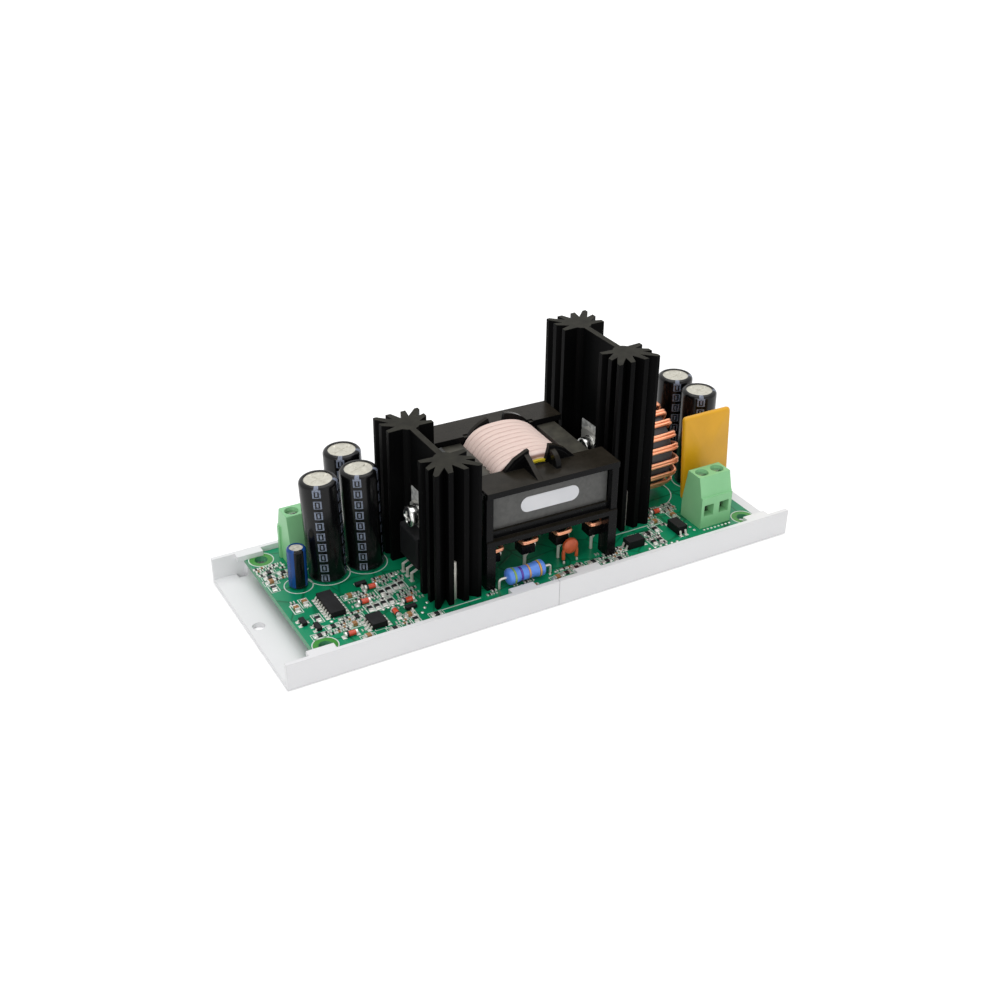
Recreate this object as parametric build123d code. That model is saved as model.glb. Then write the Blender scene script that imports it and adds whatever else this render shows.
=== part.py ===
from build123d import *
import math
import os

# Open-frame isolated dc-dc converter module: a populated circuit board snapped into a shallow
# white carrier tray made of two equal halves. Millimetres, +Z up. The origin is the centre of
# the tray's underside, +X runs along the board from the input end to the output end.

# Carrier tray
TRAY_LENGTH = 150.0          # both halves together
TRAY_WIDTH = 53.0
TRAY_HEIGHT = 7.6
TRAY_FLOOR = 1.4
TRAY_WALL = 1.2
TRAY_EDGE = 0.3              # soft outer edge along the bottom of each wall
HOOK_LENGTH = 7.2            # snap hooks that hold the board down
HOOK_REACH = 2.0             # how far a hook reaches in from the wall
HOOK_FROM_SEAM = 9.8         # hook centres, from the seam between the halves
HOOK_FROM_END = 9.8          # and from the tray's end
REST_WIDTH = 2.2             # upright web under each hook that the board rests on
SCREW_HOLE_RADIUS = 1.6
SCREW_HOLE_FROM_END = 2.8

# Circuit board
BOARD_LENGTH = 133.0
BOARD_CLEARANCE = 0.3        # board edge to the tray's long walls
BOARD_WIDTH = TRAY_WIDTH - 2 * (TRAY_WALL + BOARD_CLEARANCE)
LAYOUT_WIDTH = 50.0          # board width that the parts' Y places below are given for
BOARD_THICKNESS = 1.6
BOARD_UNDERSIDE = 4.6        # height of the board's underside above the tray's own underside
CORNER_HOLE_RADIUS = 1.75
CORNER_HOLE_INSET = 3.5
LEAD_CLEARANCE = 0.1         # between a lead and the wall of its hole
WIRE_SIDES = 6               # flats on thin leads, their holes and solder joints
DRUM_SIDES = 16              # flats on small round bodies
BARREL_SIDES = 20            # flats on large round bodies
SOLDER_HEIGHT = 0.9
SOLDER_MARGIN = 0.45         # how far a solder joint spreads past its hole

# Star heatsinks, cut from one extrusion
SINK_DEPTH = 12.7            # along X
SINK_SPAN = 34.9             # along Y
SINK_WEB = 1.7
STAR_FROM_END = 7.5          # centre of each star from the near end of the span
STAR_HUB_RADIUS = 2.8
FIN_ROOT = 3.0
FIN_TIP = 1.1
FIN_PITCH = 4.3              # between fin tips on one face
FIN_OVERRUN = 1.15           # fins are drawn this much longer, then cut to the extrusion's outline
LEFT_SINK_HEIGHT = 38.1
RIGHT_SINK_HEIGHT = 50.8
LEFT_SINK = (-26.35, -3.65, 0.0)     # centre X, centre Y, turn in degrees
RIGHT_SINK = (30.85, 5.6, 1.3)
SINK_PIN_RADIUS = 0.6
SINK_PIN_HEIGHT = 11.0       # above the board
SINK_PIN_FROM_END = 2.6

# Power transistors screwed to the sinks
PAD_THICKNESS = 0.3
PAD_MARGIN = 0.8             # pad past the tab all round
TAB_WIDTH = 10.0
TAB_THICKNESS = 1.3
TAB_HEIGHT = 15.4            # from the underside of the case to the top of the tab
TAB_CORNER = 1.2
TAB_HOLE_RADIUS = 1.85
TAB_HOLE_FROM_TOP = 3.1
CASE_HEIGHT = 9.2
CASE_FRONT = 4.5             # from the back of the tab to the front of the case
LEAD_WIDTH = 0.8
LEAD_THICKNESS = 0.5
LEAD_PITCH = 2.54
LEAD_FROM_BACK = 2.6         # lead centre plane from the back of the tab
LEAD_FOOT = 6.0              # lead foot from the middle of the sink's web
LEFT_CASE_LIFT = 4.3         # underside of the case above the board
RIGHT_CASE_LIFT = 7.7
LEFT_CASE_SHIFT = 0.0        # transistor centre along the web, from the web's middle
RIGHT_CASE_SHIFT = -0.9
SCREW_RADIUS = 1.5
SCREW_CLEARANCE = 0.1
SCREW_SLOT_WIDTH = 0.7
SCREW_HEAD_RADIUS = 2.8
SCREW_HEAD_HEIGHT = 2.0
SCREW_RECESS = 0.9
WASHER_RADIUS = 3.0
WASHER_THICKNESS = 0.5
NUT_ACROSS_FLATS = 5.5
NUT_THICKNESS = 2.4
SCREW_LENGTH = 8.0

# Main transformer, in its own frame: X across the core, Y along the winding axis
TRANSFORMER = (2.0, -0.5, -1.5)      # centre X, centre Y, turn in degrees
CORE_WIDTH = 34.2
CORE_HALF_LENGTH = 17.3
CORE_THICKNESS = 11.1
CORE_LEG_RADIUS = 5.55
CORE_WINDOW_RADIUS = 12.8
CORE_WINDOW_DEPTH = 11.8
CORE_AXIS_HEIGHT = 21.0      # above the board
CORE_CLEARANCE = 0.15
FORMER_WIDTH = 38.4
FORMER_LENGTH = 39.6
TUBE_WALL = 0.9
FLANGE_THICKNESS = 1.2
FLANGE_GAP = 0.2             # flange rim to the core window
LEDGE_THICKNESS = 1.6
LINTEL_THICKNESS = 1.4
LINTEL_DEPTH = 1.6
LINTEL_TOP = 14.1            # above the board
LIP_HEIGHT = 0.9             # lip over the core's lower front edge
POST_WIDTH = 1.9
LEG_WIDTH = 2.5
LEG_DEPTH = 4.6
GUIDE_FIN_THICKNESS = 1.4
GUIDE_FIN_HEIGHT = 3.8
WEDGE_FIN_X = -4.6           # near side of each guide fin; the flange is open between the two
ROUND_FIN_X = 2.6
BOSS_SIZE = 3.9
BOSS_FOOT = 2.3              # height of the boss's full-size foot
BOSS_DROP = 7.5
NECK_SIZE = 2.4              # the boss is narrower above its foot, where the wire is wound round it
TRANSFORMER_PIN_RADIUS = 0.45
PIN_PITCH = 10.16
PIN_COUNT = 4                # on each side
PIN_ROW_SPACING = 27.94
TURN_COUNT = 10
WINDING_RADIUS = 12.3
TURN_RIDGE = 0.45            # how far each turn stands proud of the groove beside it
WINDING_CLEARANCE = 0.2
WRAP_SIZE = 4.4              # across the wire wound round a boss's neck
WRAP_CLEARANCE = 0.1         # between that wire and the leg beside it
WRAP_HEIGHT = 1.7
LABEL_LENGTH = 17.0
LABEL_HEIGHT = 4.4
LABEL_THICKNESS = 0.1
LABEL_OFFSET = (0.1, 0.1)    # label centre from the middle of the core's front face

# Output choke: a ring core standing on edge, its axis along X
CHOKE = (44.9, 6.8)
RING_RADIUS = 12.15
RING_BORE_RADIUS = 6.9
RING_WIDTH = 9.7
CHOKE_WIRE = 1.2
CHOKE_BAND = 2.0             # two wires side by side in each turn
CHOKE_WEDGE = 5.6            # degrees each side: the turns crowd together inside the ring
RING_SIDES = 48              # flats round the ring; a step from one to the next is 7.5 degrees
# Each turn's place in such steps from straight up towards -Y, open at the bottom for the leads
CHOKE_TURN_STEPS = (1, 4, 6, 8, 10, 12, 14, 16, 18, 20, -2, -5, -8, -11, -14, -17, -19)
CHOKE_LIFT = 0.8             # wire to board
CHOKE_LEAD_SPREAD = 5.0      # lead positions each side of the choke's centre plane

# Electrolytic capacitors: centre X, centre Y, lean along X in degrees
INPUT_CAPACITORS = ((-39.2, 7.5, -1.8), (-38.9, 18.75, -1.6))
TERMINAL_CAPACITOR = (-50.0, -2.4)   # the one in front of the input terminal: centre X, lean
CAPACITOR_GAP = 0.7                  # between it and the terminal
OUTPUT_CAPACITORS = ((62.9, 14.1, 0.0), (63.1, 2.9, 0.0))
SMALL_CAPACITOR = (-58.9, 5.5, 0.0)
CAN_RADIUS = 5.0
CAN_HEIGHT = 28.4
OUTPUT_CAN_HEIGHT = 28.9
CAN_PITCH = 5.0
SMALL_CAN_RADIUS = 2.5
SMALL_CAN_HEIGHT = 11.4
SMALL_CAN_PITCH = 2.0
SLEEVE_THICKNESS = 0.2
SLEEVE_LIP = 1.0             # how far the sleeve turns in over the can's top
BUNG_HEIGHT = 1.2
CAN_LIFT = 0.35              # can to board, so that a leaning can clears it
CAP_LEAD_RADIUS = 0.3
LEAD_GAP = 0.02              # lead to bung, taken up as the can leans
VENT_DEPTH = 0.15
VENT_WIDTH = 0.35

# Screw terminal blocks, in their own frame: the wire entries face -Y
INPUT_TERMINAL = (-52.5, 17.5, 180.0)
OUTPUT_TERMINAL = (53.6, -16.6, 0.0)
TERMINAL_PITCH = 5.08
TERMINAL_DEPTH = 9.0
TERMINAL_HEIGHT = 15.0
PANEL_HEIGHT = 9.4           # upright lower part of the front
BACK_HEIGHT = 5.3            # upright lower part of the back
TOP_FRONT_SETBACK = 2.0
TOP_BACK_SETBACK = 1.8
ENTRY_WIDTH = 3.1
ENTRY_HEIGHT = 3.4
ENTRY_AXIS_HEIGHT = 5.4
CAGE_WIDTH = 3.6
CAGE_DEPTH = 4.2
CAGE_HEIGHT = 6.6
CAGE_WALL = 0.6
CAGE_LIFT = 3.0
CAGE_CLEARANCE = 0.1
CLAMP_SCREW_RADIUS = 1.25
CLAMP_HEAD_RADIUS = 1.75
CLAMP_HEAD_HEIGHT = 1.6
CLAMP_WELL_DEPTH = 2.6
CLAMP_SCREW_OPEN = 0.62      # screw tip up the cage, as a share of the cage's height
TERMINAL_PIN = 1.0
RIB_SIZE = 0.5

# Resettable fuse plate
FUSE_X = 58.3
FUSE_GAP = 0.9               # between the plate and the choke behind it
FUSE_WIDTH = 15.8
FUSE_LEAN = -3.0             # degrees; its top leans to -X
FUSE_HEIGHT = 25.4
FUSE_THICKNESS = 1.7
FUSE_CORNER = 0.5
FUSE_LIFT = 2.6
FUSE_PITCH = 5.1
FUSE_LEAD_RADIUS = 0.4

# Axial power resistor and disc capacitor
RESISTOR = (-6.65, -20.1)
RESISTOR_LENGTH = 11.4
RESISTOR_RADIUS = 1.95
RESISTOR_END_RADIUS = 2.2
RESISTOR_END = 2.6           # length of each thicker end
RESISTOR_EDGE = 0.7
RESISTOR_PITCH = 15.24
RESISTOR_LIFT = 2.6          # body axis above the board
RESISTOR_LEAD_RADIUS = 0.35
DISC_X = 8.6
DISC_FROM_PINS = 3.4         # disc centre in front of the transformer's pin row
DISC_RADIUS = 2.35
DISC_THICKNESS = 1.9
DISC_EDGE = 0.5
DISC_AXIS_HEIGHT = 4.8
DISC_PITCH = 4.0
DISC_LEG_RADIUS = 0.5
DISC_LEG_LIFT = 0.6          # coated legs end this far above the board

# Small-outline packages: body length, body width, span over leads, height, pitch
SO_WIDTH = 3.9
SO_SPAN = 6.0
SO_HEIGHT = 1.7
SO_PITCH = 1.27
SO_LEAD = 0.42
SO_LEAD_THICKNESS = 0.22
SO_STANDOFF = 0.15
CONTROLLER = (-55.4, -7.2)
CONTROLLER_LENGTH = 9.9
CONTROLLER_COUNT = 8         # leads on each side
DRIVER = (-48.4, -19.1)
DRIVER_LENGTH = 4.9
DRIVER_COUNT = 4
OPTOCOUPLERS = ((42.8, -18.3), (27.7, -19.4))
OPTO_LENGTH = 4.6
OPTO_WIDTH = 6.5
OPTO_HEIGHT = 3.4
OPTO_PITCH = 2.54
OPTO_SPAN = 9.0
OPTO_LEAD = 0.9
TINY_LENGTH = 2.9            # three-lead small transistors
TINY_WIDTH = 1.3
TINY_SPAN = 2.5
TINY_HEIGHT = 1.0
TINY_PITCH = 1.9
TINY_TRANSISTORS = ((-64.3, -10.6, 90), (-61.9, -14.2, 90), (-44.9, -2.0, 0), (-38.1, -17.4, 0))
DIODE_LENGTH = 3.5
DIODE_RADIUS = 0.75
DIODES = ((-43.3, -4.6, 0), (-47.6, -9.9, 0), (-42.5, -18.2, 90), (-56.0, -20.9, 0), (-37.6, -14.6, 0),
          (42.5, -8.3, 0))
CHIP_LENGTH = 2.0
CHIP_WIDTH = 1.25
CHIP_HEIGHT = 0.55
CAPACITOR_CHIP_HEIGHT = 0.9
CHIP_RESISTORS = ((-41.6, -7.6, 90), (-39.6, -7.2, 90), (-37.6, -6.8, 90), (-35.6, -6.4, 90),
                  (-47.2, -12.6, 90), (-45.2, -12.6, 90), (-43.2, -12.2, 90), (-41.2, -12.0, 90),
                  (-63.6, 14.4, 0), (-64.2, 12.2, 0), (-60.2, 12.9, 0), (-65.0, 7.4, 90),
                  (-60.4, -10.4, 90), (-62.8, -17.4, 0), (-58.4, -15.4, 0), (-51.6, -14.4, 0),
                  (-45.4, -23.4, 0), (-39.2, -22.2, 90), (-33.6, -22.8, 0), (33.4, -20.6, 90),
                  (35.6, -20.4, 90), (34.4, -16.2, 0), (37.6, -15.2, 90), (13.6, -21.2, 0),
                  (17.0, -22.6, 0), (20.6, -23.2, 0), (4.6, -22.4, 0), (8.2, -21.6, 0))
CHIP_CAPACITORS = ((-63.4, -4.2, 90), (-60.6, -2.6, 90), (-64.6, 10.0, 0), (-49.6, -5.4, 0),
                   (-53.4, -17.2, 0), (-39.8, -20.0, 0), (-52.4, -23.4, 0), (46.2, -11.6, 90),
                   (1.4, -23.2, 0), (39.6, -12.2, 0))

board_top = BOARD_UNDERSIDE + BOARD_THICKNESS
half_length = TRAY_LENGTH / 2
half_width = TRAY_WIDTH / 2
spread = BOARD_WIDTH / LAYOUT_WIDTH
parts = {}                   # node name: its solids
board_holes = []             # X, Y and radius of each plated hole


def add(node, *shapes):
    """Put every solid of the given shapes into a node."""
    for shape in shapes:
        parts.setdefault(node, []).extend(shape.solids())


def block(low, high):
    """A box from its lowest corner to its highest corner."""
    size = [high[i] - low[i] for i in range(3)]
    return Pos(*[(low[i] + high[i]) / 2 for i in range(3)]) * Box(*size)


def prism_y(sketch, y0, y1):
    """Extrude a sketch drawn in X and Z from y0 to y1."""
    plane = Plane(origin=(0, y0, 0), x_dir=(1, 0, 0), z_dir=(0, -1, 0))
    return extrude(plane * sketch, y1 - y0, dir=(0, 1, 0))


def prism_x(sketch, x0, x1):
    """Extrude a sketch drawn in Y and Z from x0 to x1."""
    plane = Plane(origin=(x0, 0, 0), x_dir=(0, 1, 0), z_dir=(1, 0, 0))
    return extrude(plane * sketch, x1 - x0, dir=(1, 0, 0))


def rod(radius, z0, z1):
    """An upright round rod."""
    return Pos(0, 0, z0) * Cylinder(radius, z1 - z0, align=(Align.CENTER, Align.CENTER, Align.MIN))


def rod_y(radius, y0, y1):
    """A round rod along Y."""
    return Pos(0, y0, 0) * Rot(-90, 0, 0) * Cylinder(
        radius, y1 - y0, align=(Align.CENTER, Align.CENTER, Align.MIN))


def barrel(radius, y0, y1):
    """A drum along Y with many flats, for the spool and what is wound on it."""
    return prism_y(RegularPolygon(radius, BARREL_SIDES), y0, y1)


def wire(radius, z0, z1):
    """An upright lead; a few flats are round enough at this thickness."""
    return Pos(0, 0, z0) * extrude(RegularPolygon(radius, WIRE_SIDES), z1 - z0)


def shank(radius, x0, x1):
    """A hidden screw shank or its hole, along X, with a few flats."""
    return prism_x(RegularPolygon(radius, WIRE_SIDES), x0, x1)


def drum(radius, z0, z1, sides=DRUM_SIDES):
    """An upright round body with many flats."""
    return Pos(0, 0, z0) * extrude(RegularPolygon(radius, sides), z1 - z0)


def drum_x(radius, x0, x1, sides=DRUM_SIDES):
    """A round body along X with many flats."""
    return prism_x(RegularPolygon(radius, sides), x0, x1)


def on_board(x, y, turn=0.0):
    """The frame of a component that stands on the board: its Z = 0 is the board's top."""
    return Pos(x, y * spread, board_top) * Rot(0, 0, turn)


def drill(frame, x, y, lead_radius):
    """Note a plated hole for a lead and put the solder joint under it."""
    centre = (frame * Pos(x, y, 0)).position
    hole = lead_radius + LEAD_CLEARANCE
    board_holes.append((centre.X, centre.Y, hole))
    taper = math.degrees(math.atan2(SOLDER_MARGIN, SOLDER_HEIGHT))
    joint = extrude(RegularPolygon(hole + SOLDER_MARGIN, WIRE_SIDES), SOLDER_HEIGHT, taper=taper)
    add("solder_joints", Pos(centre.X, centre.Y, BOARD_UNDERSIDE) * Rot(180, 0, 0) * joint)


def straight_lead(frame, x, y, radius, top):
    """A round lead from the board's underside up to a height above the board, with its hole."""
    drill(frame, x, y, radius)
    return frame * Pos(x, y, 0) * wire(radius, -BOARD_THICKNESS, top)


# Carrier tray

def tray_half():
    """One moulded half, reaching from the seam at X = 0 to the end at -X."""
    section = Polygon((-half_width, 0), (half_width, 0), (half_width, TRAY_HEIGHT),
                      (half_width - TRAY_WALL, TRAY_HEIGHT), (half_width - TRAY_WALL, TRAY_FLOOR),
                      (-half_width + TRAY_WALL, TRAY_FLOOR), (-half_width + TRAY_WALL, TRAY_HEIGHT),
                      (-half_width, TRAY_HEIGHT), align=None)
    outer_corners = section.vertices().group_by(Axis.Y)[0]
    tray = prism_x(chamfer(outer_corners, TRAY_EDGE), -half_length, 0)
    inner = half_width - TRAY_WALL
    for centre in (-HOOK_FROM_SEAM, -half_length + HOOK_FROM_END):
        x0, x1 = centre - HOOK_LENGTH / 2, centre + HOOK_LENGTH / 2
        for side in (-1, 1):
            y0, y1 = sorted((side * (inner - HOOK_REACH), side * inner))
            hook = block((x0, y0, board_top), (x1, y1, TRAY_HEIGHT))
            slot = block((x0, y0, 0), (x1, y1, TRAY_FLOOR))
            web = block((centre - REST_WIDTH / 2, y0, 0), (centre + REST_WIDTH / 2, y1, BOARD_UNDERSIDE))
            tray = tray - slot + web + hook
    hole_x = -half_length + SCREW_HOLE_FROM_END
    return tray - Pos(hole_x, 0, 0) * rod(SCREW_HOLE_RADIUS, 0, TRAY_FLOOR)


# Star heatsinks

def fin(x, y, reach):
    """A tapered fin from a star's centre out past the point x, y."""
    length = math.hypot(x, y) * reach
    outline = Polygon((0, -FIN_ROOT / 2), (length, -FIN_TIP / 2), (length, FIN_TIP / 2), (0, FIN_ROOT / 2),
                      align=None)
    return Rot(0, 0, math.degrees(math.atan2(y, x))) * outline


def star(side):
    """One eight-finned star; side is -1 for the end at -Y and 1 for the end at +Y."""
    end = STAR_FROM_END
    tips = []
    for across in (-1, 1):
        for step in range(3):
            tips.append((across * SINK_DEPTH / 2, side * (end - step * FIN_PITCH)))
        tips.append((across * FIN_PITCH / 2, side * end))
    shape = Circle(STAR_HUB_RADIUS)
    for x, y in tips:
        shape += fin(x, y, FIN_OVERRUN)
    return shape


def heatsink(height):
    """The double star extrusion, standing on the board with its web along Y."""
    centre = SINK_SPAN / 2 - STAR_FROM_END
    shape = Rectangle(SINK_WEB, 2 * centre)
    for side in (-1, 1):
        shape += Pos(0, side * centre) * star(side)
    shape = shape & Rectangle(SINK_DEPTH, SINK_SPAN)
    return extrude(shape, height)


def heatsink_group(name, place, height, case_lift, case_shift):
    """A heatsink with its solder pins and the transistor screwed to its web."""
    frame = on_board(*place)
    sink = heatsink(height)
    for side in (-1, 1):
        y = side * (SINK_SPAN / 2 - SINK_PIN_FROM_END)
        sink -= Pos(0, y, 0) * wire(SINK_PIN_RADIUS, 0, SINK_PIN_HEIGHT)
        add("heatsink_solder_pins", straight_lead(frame, 0, y, SINK_PIN_RADIUS, SINK_PIN_HEIGHT))
    screw_z = case_lift + TAB_HEIGHT - TAB_HOLE_FROM_TOP
    screw_line = Pos(0, 0, screw_z)
    sink -= Pos(0, case_shift, 0) * screw_line * shank(SCREW_RADIUS + SCREW_CLEARANCE, -SINK_WEB, SINK_WEB)
    add(name + "_heatsink", frame * sink)
    transistor(name, frame * Pos(0, case_shift, 0), case_lift, screw_line)


# Power transistors

def transistor(name, frame, lift, screw_line):
    """A tab-mounted transistor on the -X face of a sink's web, with its screw and nut."""
    web = -SINK_WEB / 2
    back = web - PAD_THICKNESS
    half = TAB_WIDTH / 2
    top = lift + TAB_HEIGHT
    pad = block((back, -half - PAD_MARGIN, lift - PAD_MARGIN), (web, half + PAD_MARGIN, top + PAD_MARGIN))
    add("insulating_pads", frame * (pad - screw_line * shank(TAB_HOLE_RADIUS, back, web)))

    outline = Pos(0, lift + TAB_HEIGHT / 2) * Rectangle(TAB_WIDTH, TAB_HEIGHT)
    outline = chamfer(outline.vertices().group_by(Axis.Y)[-1], TAB_CORNER)
    plate = prism_x(outline, back - TAB_THICKNESS, back)
    plate -= screw_line * shank(TAB_HOLE_RADIUS, back - TAB_THICKNESS, back)
    add(name + "_transistor_tab", frame * plate)

    case = block((back - CASE_FRONT, -half, lift), (back - TAB_THICKNESS, half, lift + CASE_HEIGHT))
    front_edges = case.faces().sort_by(Axis.X)[0].edges()
    case = chamfer(front_edges, 0.4)
    add(name + "_transistor_case", frame * case)

    lead_x = back - LEAD_FROM_BACK
    for i in (-1, 0, 1):
        y = i * LEAD_PITCH
        half_t = LEAD_THICKNESS / 2
        bend = min(2.0, lift / 2)
        outline = Polygon((lead_x - half_t, lift), (lead_x + half_t, lift),
                          (lead_x + half_t, lift - bend / 2), (-LEAD_FOOT + half_t, lift - bend),
                          (-LEAD_FOOT + half_t, -BOARD_THICKNESS), (-LEAD_FOOT - half_t, -BOARD_THICKNESS),
                          (-LEAD_FOOT - half_t, lift - bend), (lead_x - half_t, lift - bend / 2), align=None)
        lead = prism_y(outline, y - LEAD_WIDTH / 2, y + LEAD_WIDTH / 2)
        add(name + "_transistor_leads", frame * lead)
        drill(frame, -LEAD_FOOT, y, math.hypot(LEAD_WIDTH, LEAD_THICKNESS) / 2)

    head_seat = back - TAB_THICKNESS - WASHER_THICKNESS
    washer = drum_x(WASHER_RADIUS, head_seat, back - TAB_THICKNESS)
    washer -= shank(SCREW_RADIUS + SCREW_CLEARANCE, head_seat, back - TAB_THICKNESS)
    add("transistor_washers", frame * screw_line * washer)
    head = drum_x(SCREW_HEAD_RADIUS, head_seat - SCREW_HEAD_HEIGHT, head_seat)
    head = chamfer(head.edges().group_by(Axis.X)[0], SCREW_HEAD_HEIGHT * 0.4)
    for turn in (0, 90):
        slot = Rot(turn, 0, 0) * Box(2 * SCREW_RECESS, 1.2 * SCREW_HEAD_RADIUS, SCREW_SLOT_WIDTH)
        head -= Pos(head_seat - SCREW_HEAD_HEIGHT, 0, 0) * slot
    screw = head + shank(SCREW_RADIUS, head_seat, head_seat + SCREW_LENGTH)
    add("transistor_screws", frame * screw_line * screw)
    nut_seat = -web
    nut = prism_x(RegularPolygon(NUT_ACROSS_FLATS / 2, 6, major_radius=False), nut_seat,
                  nut_seat + NUT_THICKNESS)
    nut -= shank(SCREW_RADIUS, nut_seat, nut_seat + NUT_THICKNESS)
    add("transistor_nuts", frame * screw_line * nut)


# Main transformer

def core_half():
    """One half of the ferrite core: back wall, round centre leg and two outer legs, front half at -Y."""
    half_w = CORE_WIDTH / 2
    half_t = CORE_THICKNESS / 2
    body = block((-half_w, -CORE_HALF_LENGTH, -half_t), (half_w, 0, half_t))
    body -= rod_y(CORE_WINDOW_RADIUS, -CORE_WINDOW_DEPTH, 0)
    return body + rod_y(CORE_LEG_RADIUS, -CORE_WINDOW_DEPTH, 0)


def end_frame():
    """The former's front end: ledge, posts, shelf, lintel, legs and pin bosses."""
    half_w = FORMER_WIDTH / 2
    front = -FORMER_LENGTH / 2
    spool_end = -CORE_WINDOW_DEPTH + CORE_CLEARANCE
    flange_inner = spool_end + FLANGE_THICKNESS
    core_top = CORE_AXIS_HEIGHT + CORE_THICKNESS / 2 + CORE_CLEARANCE
    core_bottom = CORE_AXIS_HEIGHT - CORE_THICKNESS / 2 - CORE_CLEARANCE
    core_front = -CORE_HALF_LENGTH - CORE_CLEARANCE
    lintel_bottom = LINTEL_TOP - LINTEL_THICKNESS
    frame = block((-half_w, front, core_top), (half_w, flange_inner, core_top + LEDGE_THICKNESS))
    frame += block((-half_w, front + LINTEL_DEPTH, lintel_bottom), (half_w, flange_inner, core_bottom))
    frame += block((-half_w, front, lintel_bottom), (half_w, front + LINTEL_DEPTH, LINTEL_TOP))
    frame += block((-half_w, front + LINTEL_DEPTH, core_bottom),
                   (half_w, core_front, core_bottom + LIP_HEIGHT))
    for side in (-1, 1):
        x0, x1 = sorted((side * (half_w - POST_WIDTH), side * half_w))
        frame += block((x0, front + 0.4, LINTEL_TOP), (x1, core_front, core_top))
        x0, x1 = sorted((side * (half_w - LEG_WIDTH), side * half_w))
        frame += block((x0, front, 0), (x1, front + LEG_DEPTH, lintel_bottom))
    room = WRAP_SIZE / 2 + WRAP_CLEARANCE
    for x in pin_places():
        y = -PIN_ROW_SPACING / 2
        foot = lintel_bottom - BOSS_DROP
        frame -= block((x - room, y - room, foot), (x + room, y + room, lintel_bottom))
        for half_b, top in ((BOSS_SIZE / 2, foot + BOSS_FOOT), (NECK_SIZE / 2, lintel_bottom)):
            frame += block((x - half_b, y - half_b, foot), (x + half_b, y + half_b, top))
    return frame


def pin_places():
    """X of each pin in one row."""
    return [(i - (PIN_COUNT - 1) / 2) * PIN_PITCH for i in range(PIN_COUNT)]


def guide_fins():
    """The upright wire guides on the front ledge: one wedge and one with a rounded top."""
    ledge_top = CORE_AXIS_HEIGHT + CORE_THICKNESS / 2 + CORE_CLEARANCE + LEDGE_THICKNESS
    back = -CORE_WINDOW_DEPTH + CORE_CLEARANCE
    front = -FORMER_LENGTH / 2 + 0.6
    wedge = Polygon((front, ledge_top), (back, ledge_top), (back, ledge_top + GUIDE_FIN_HEIGHT), align=None)
    radius = GUIDE_FIN_HEIGHT
    round_top = Pos(back - 0.4, ledge_top) * Circle(radius)
    round_top &= Pos(back - 0.4 - radius / 2, ledge_top + radius / 2) * Rectangle(radius, radius)
    fins = prism_x(wedge, WEDGE_FIN_X, WEDGE_FIN_X + GUIDE_FIN_THICKNESS)
    return fins + prism_x(round_top, ROUND_FIN_X, ROUND_FIN_X + GUIDE_FIN_THICKNESS)


def coil_former():
    """The moulded former: spool, two flanges and two end frames, in the transformer's frame."""
    axis = Pos(0, 0, CORE_AXIS_HEIGHT)
    spool_end = CORE_WINDOW_DEPTH - CORE_CLEARANCE
    bore = CORE_LEG_RADIUS + CORE_CLEARANCE
    former = axis * barrel(bore + TUBE_WALL, -spool_end, spool_end)
    for side in (-1, 1):
        y0, y1 = sorted((side * spool_end, side * (spool_end - FLANGE_THICKNESS)))
        former += axis * barrel(CORE_WINDOW_RADIUS - FLANGE_GAP, y0, y1)
    front = end_frame()
    former += front + Rot(0, 0, 180) * front + guide_fins()
    former -= axis * barrel(bore, -spool_end, spool_end)
    ledge_top = CORE_AXIS_HEIGHT + CORE_THICKNESS / 2 + CORE_CLEARANCE + LEDGE_THICKNESS
    former -= block((WEDGE_FIN_X + GUIDE_FIN_THICKNESS, -spool_end, ledge_top),
                    (ROUND_FIN_X, -spool_end + FLANGE_THICKNESS, CORE_AXIS_HEIGHT + CORE_WINDOW_RADIUS))
    inside = spool_end - FLANGE_THICKNESS
    keep = axis * barrel(bore + TUBE_WALL, -inside, inside)
    return former - (axis * barrel(WINDING_RADIUS + WINDING_CLEARANCE, -inside, inside) - keep)


def litz_winding():
    """The thick stranded winding: a barrel whose outside has one ridge for each turn."""
    inside = CORE_WINDOW_DEPTH - CORE_CLEARANCE - FLANGE_THICKNESS
    half_pitch = inside / TURN_COUNT
    slope = math.degrees(math.atan2(TURN_RIDGE, half_pitch))
    cone = extrude(RegularPolygon(WINDING_RADIUS, BARREL_SIDES), half_pitch, taper=slope)
    turn = Rot(90, 0, 0) * cone + Rot(-90, 0, 0) * cone
    winding = Pos(0, -inside + half_pitch, 0) * turn
    for i in range(1, TURN_COUNT):
        winding += Pos(0, -inside + (2 * i + 1) * half_pitch, 0) * turn
    winding -= barrel(CORE_LEG_RADIUS + CORE_CLEARANCE + TUBE_WALL, -inside, inside)
    return Pos(0, 0, CORE_AXIS_HEIGHT) * winding


def core_label():
    """The plain label with round ends on the core's front face."""
    outline = SlotOverall(LABEL_LENGTH, LABEL_HEIGHT)
    x, z = LABEL_OFFSET
    y = -CORE_HALF_LENGTH
    return prism_y(Pos(x, CORE_AXIS_HEIGHT + z) * outline, y - LABEL_THICKNESS, y)


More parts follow.
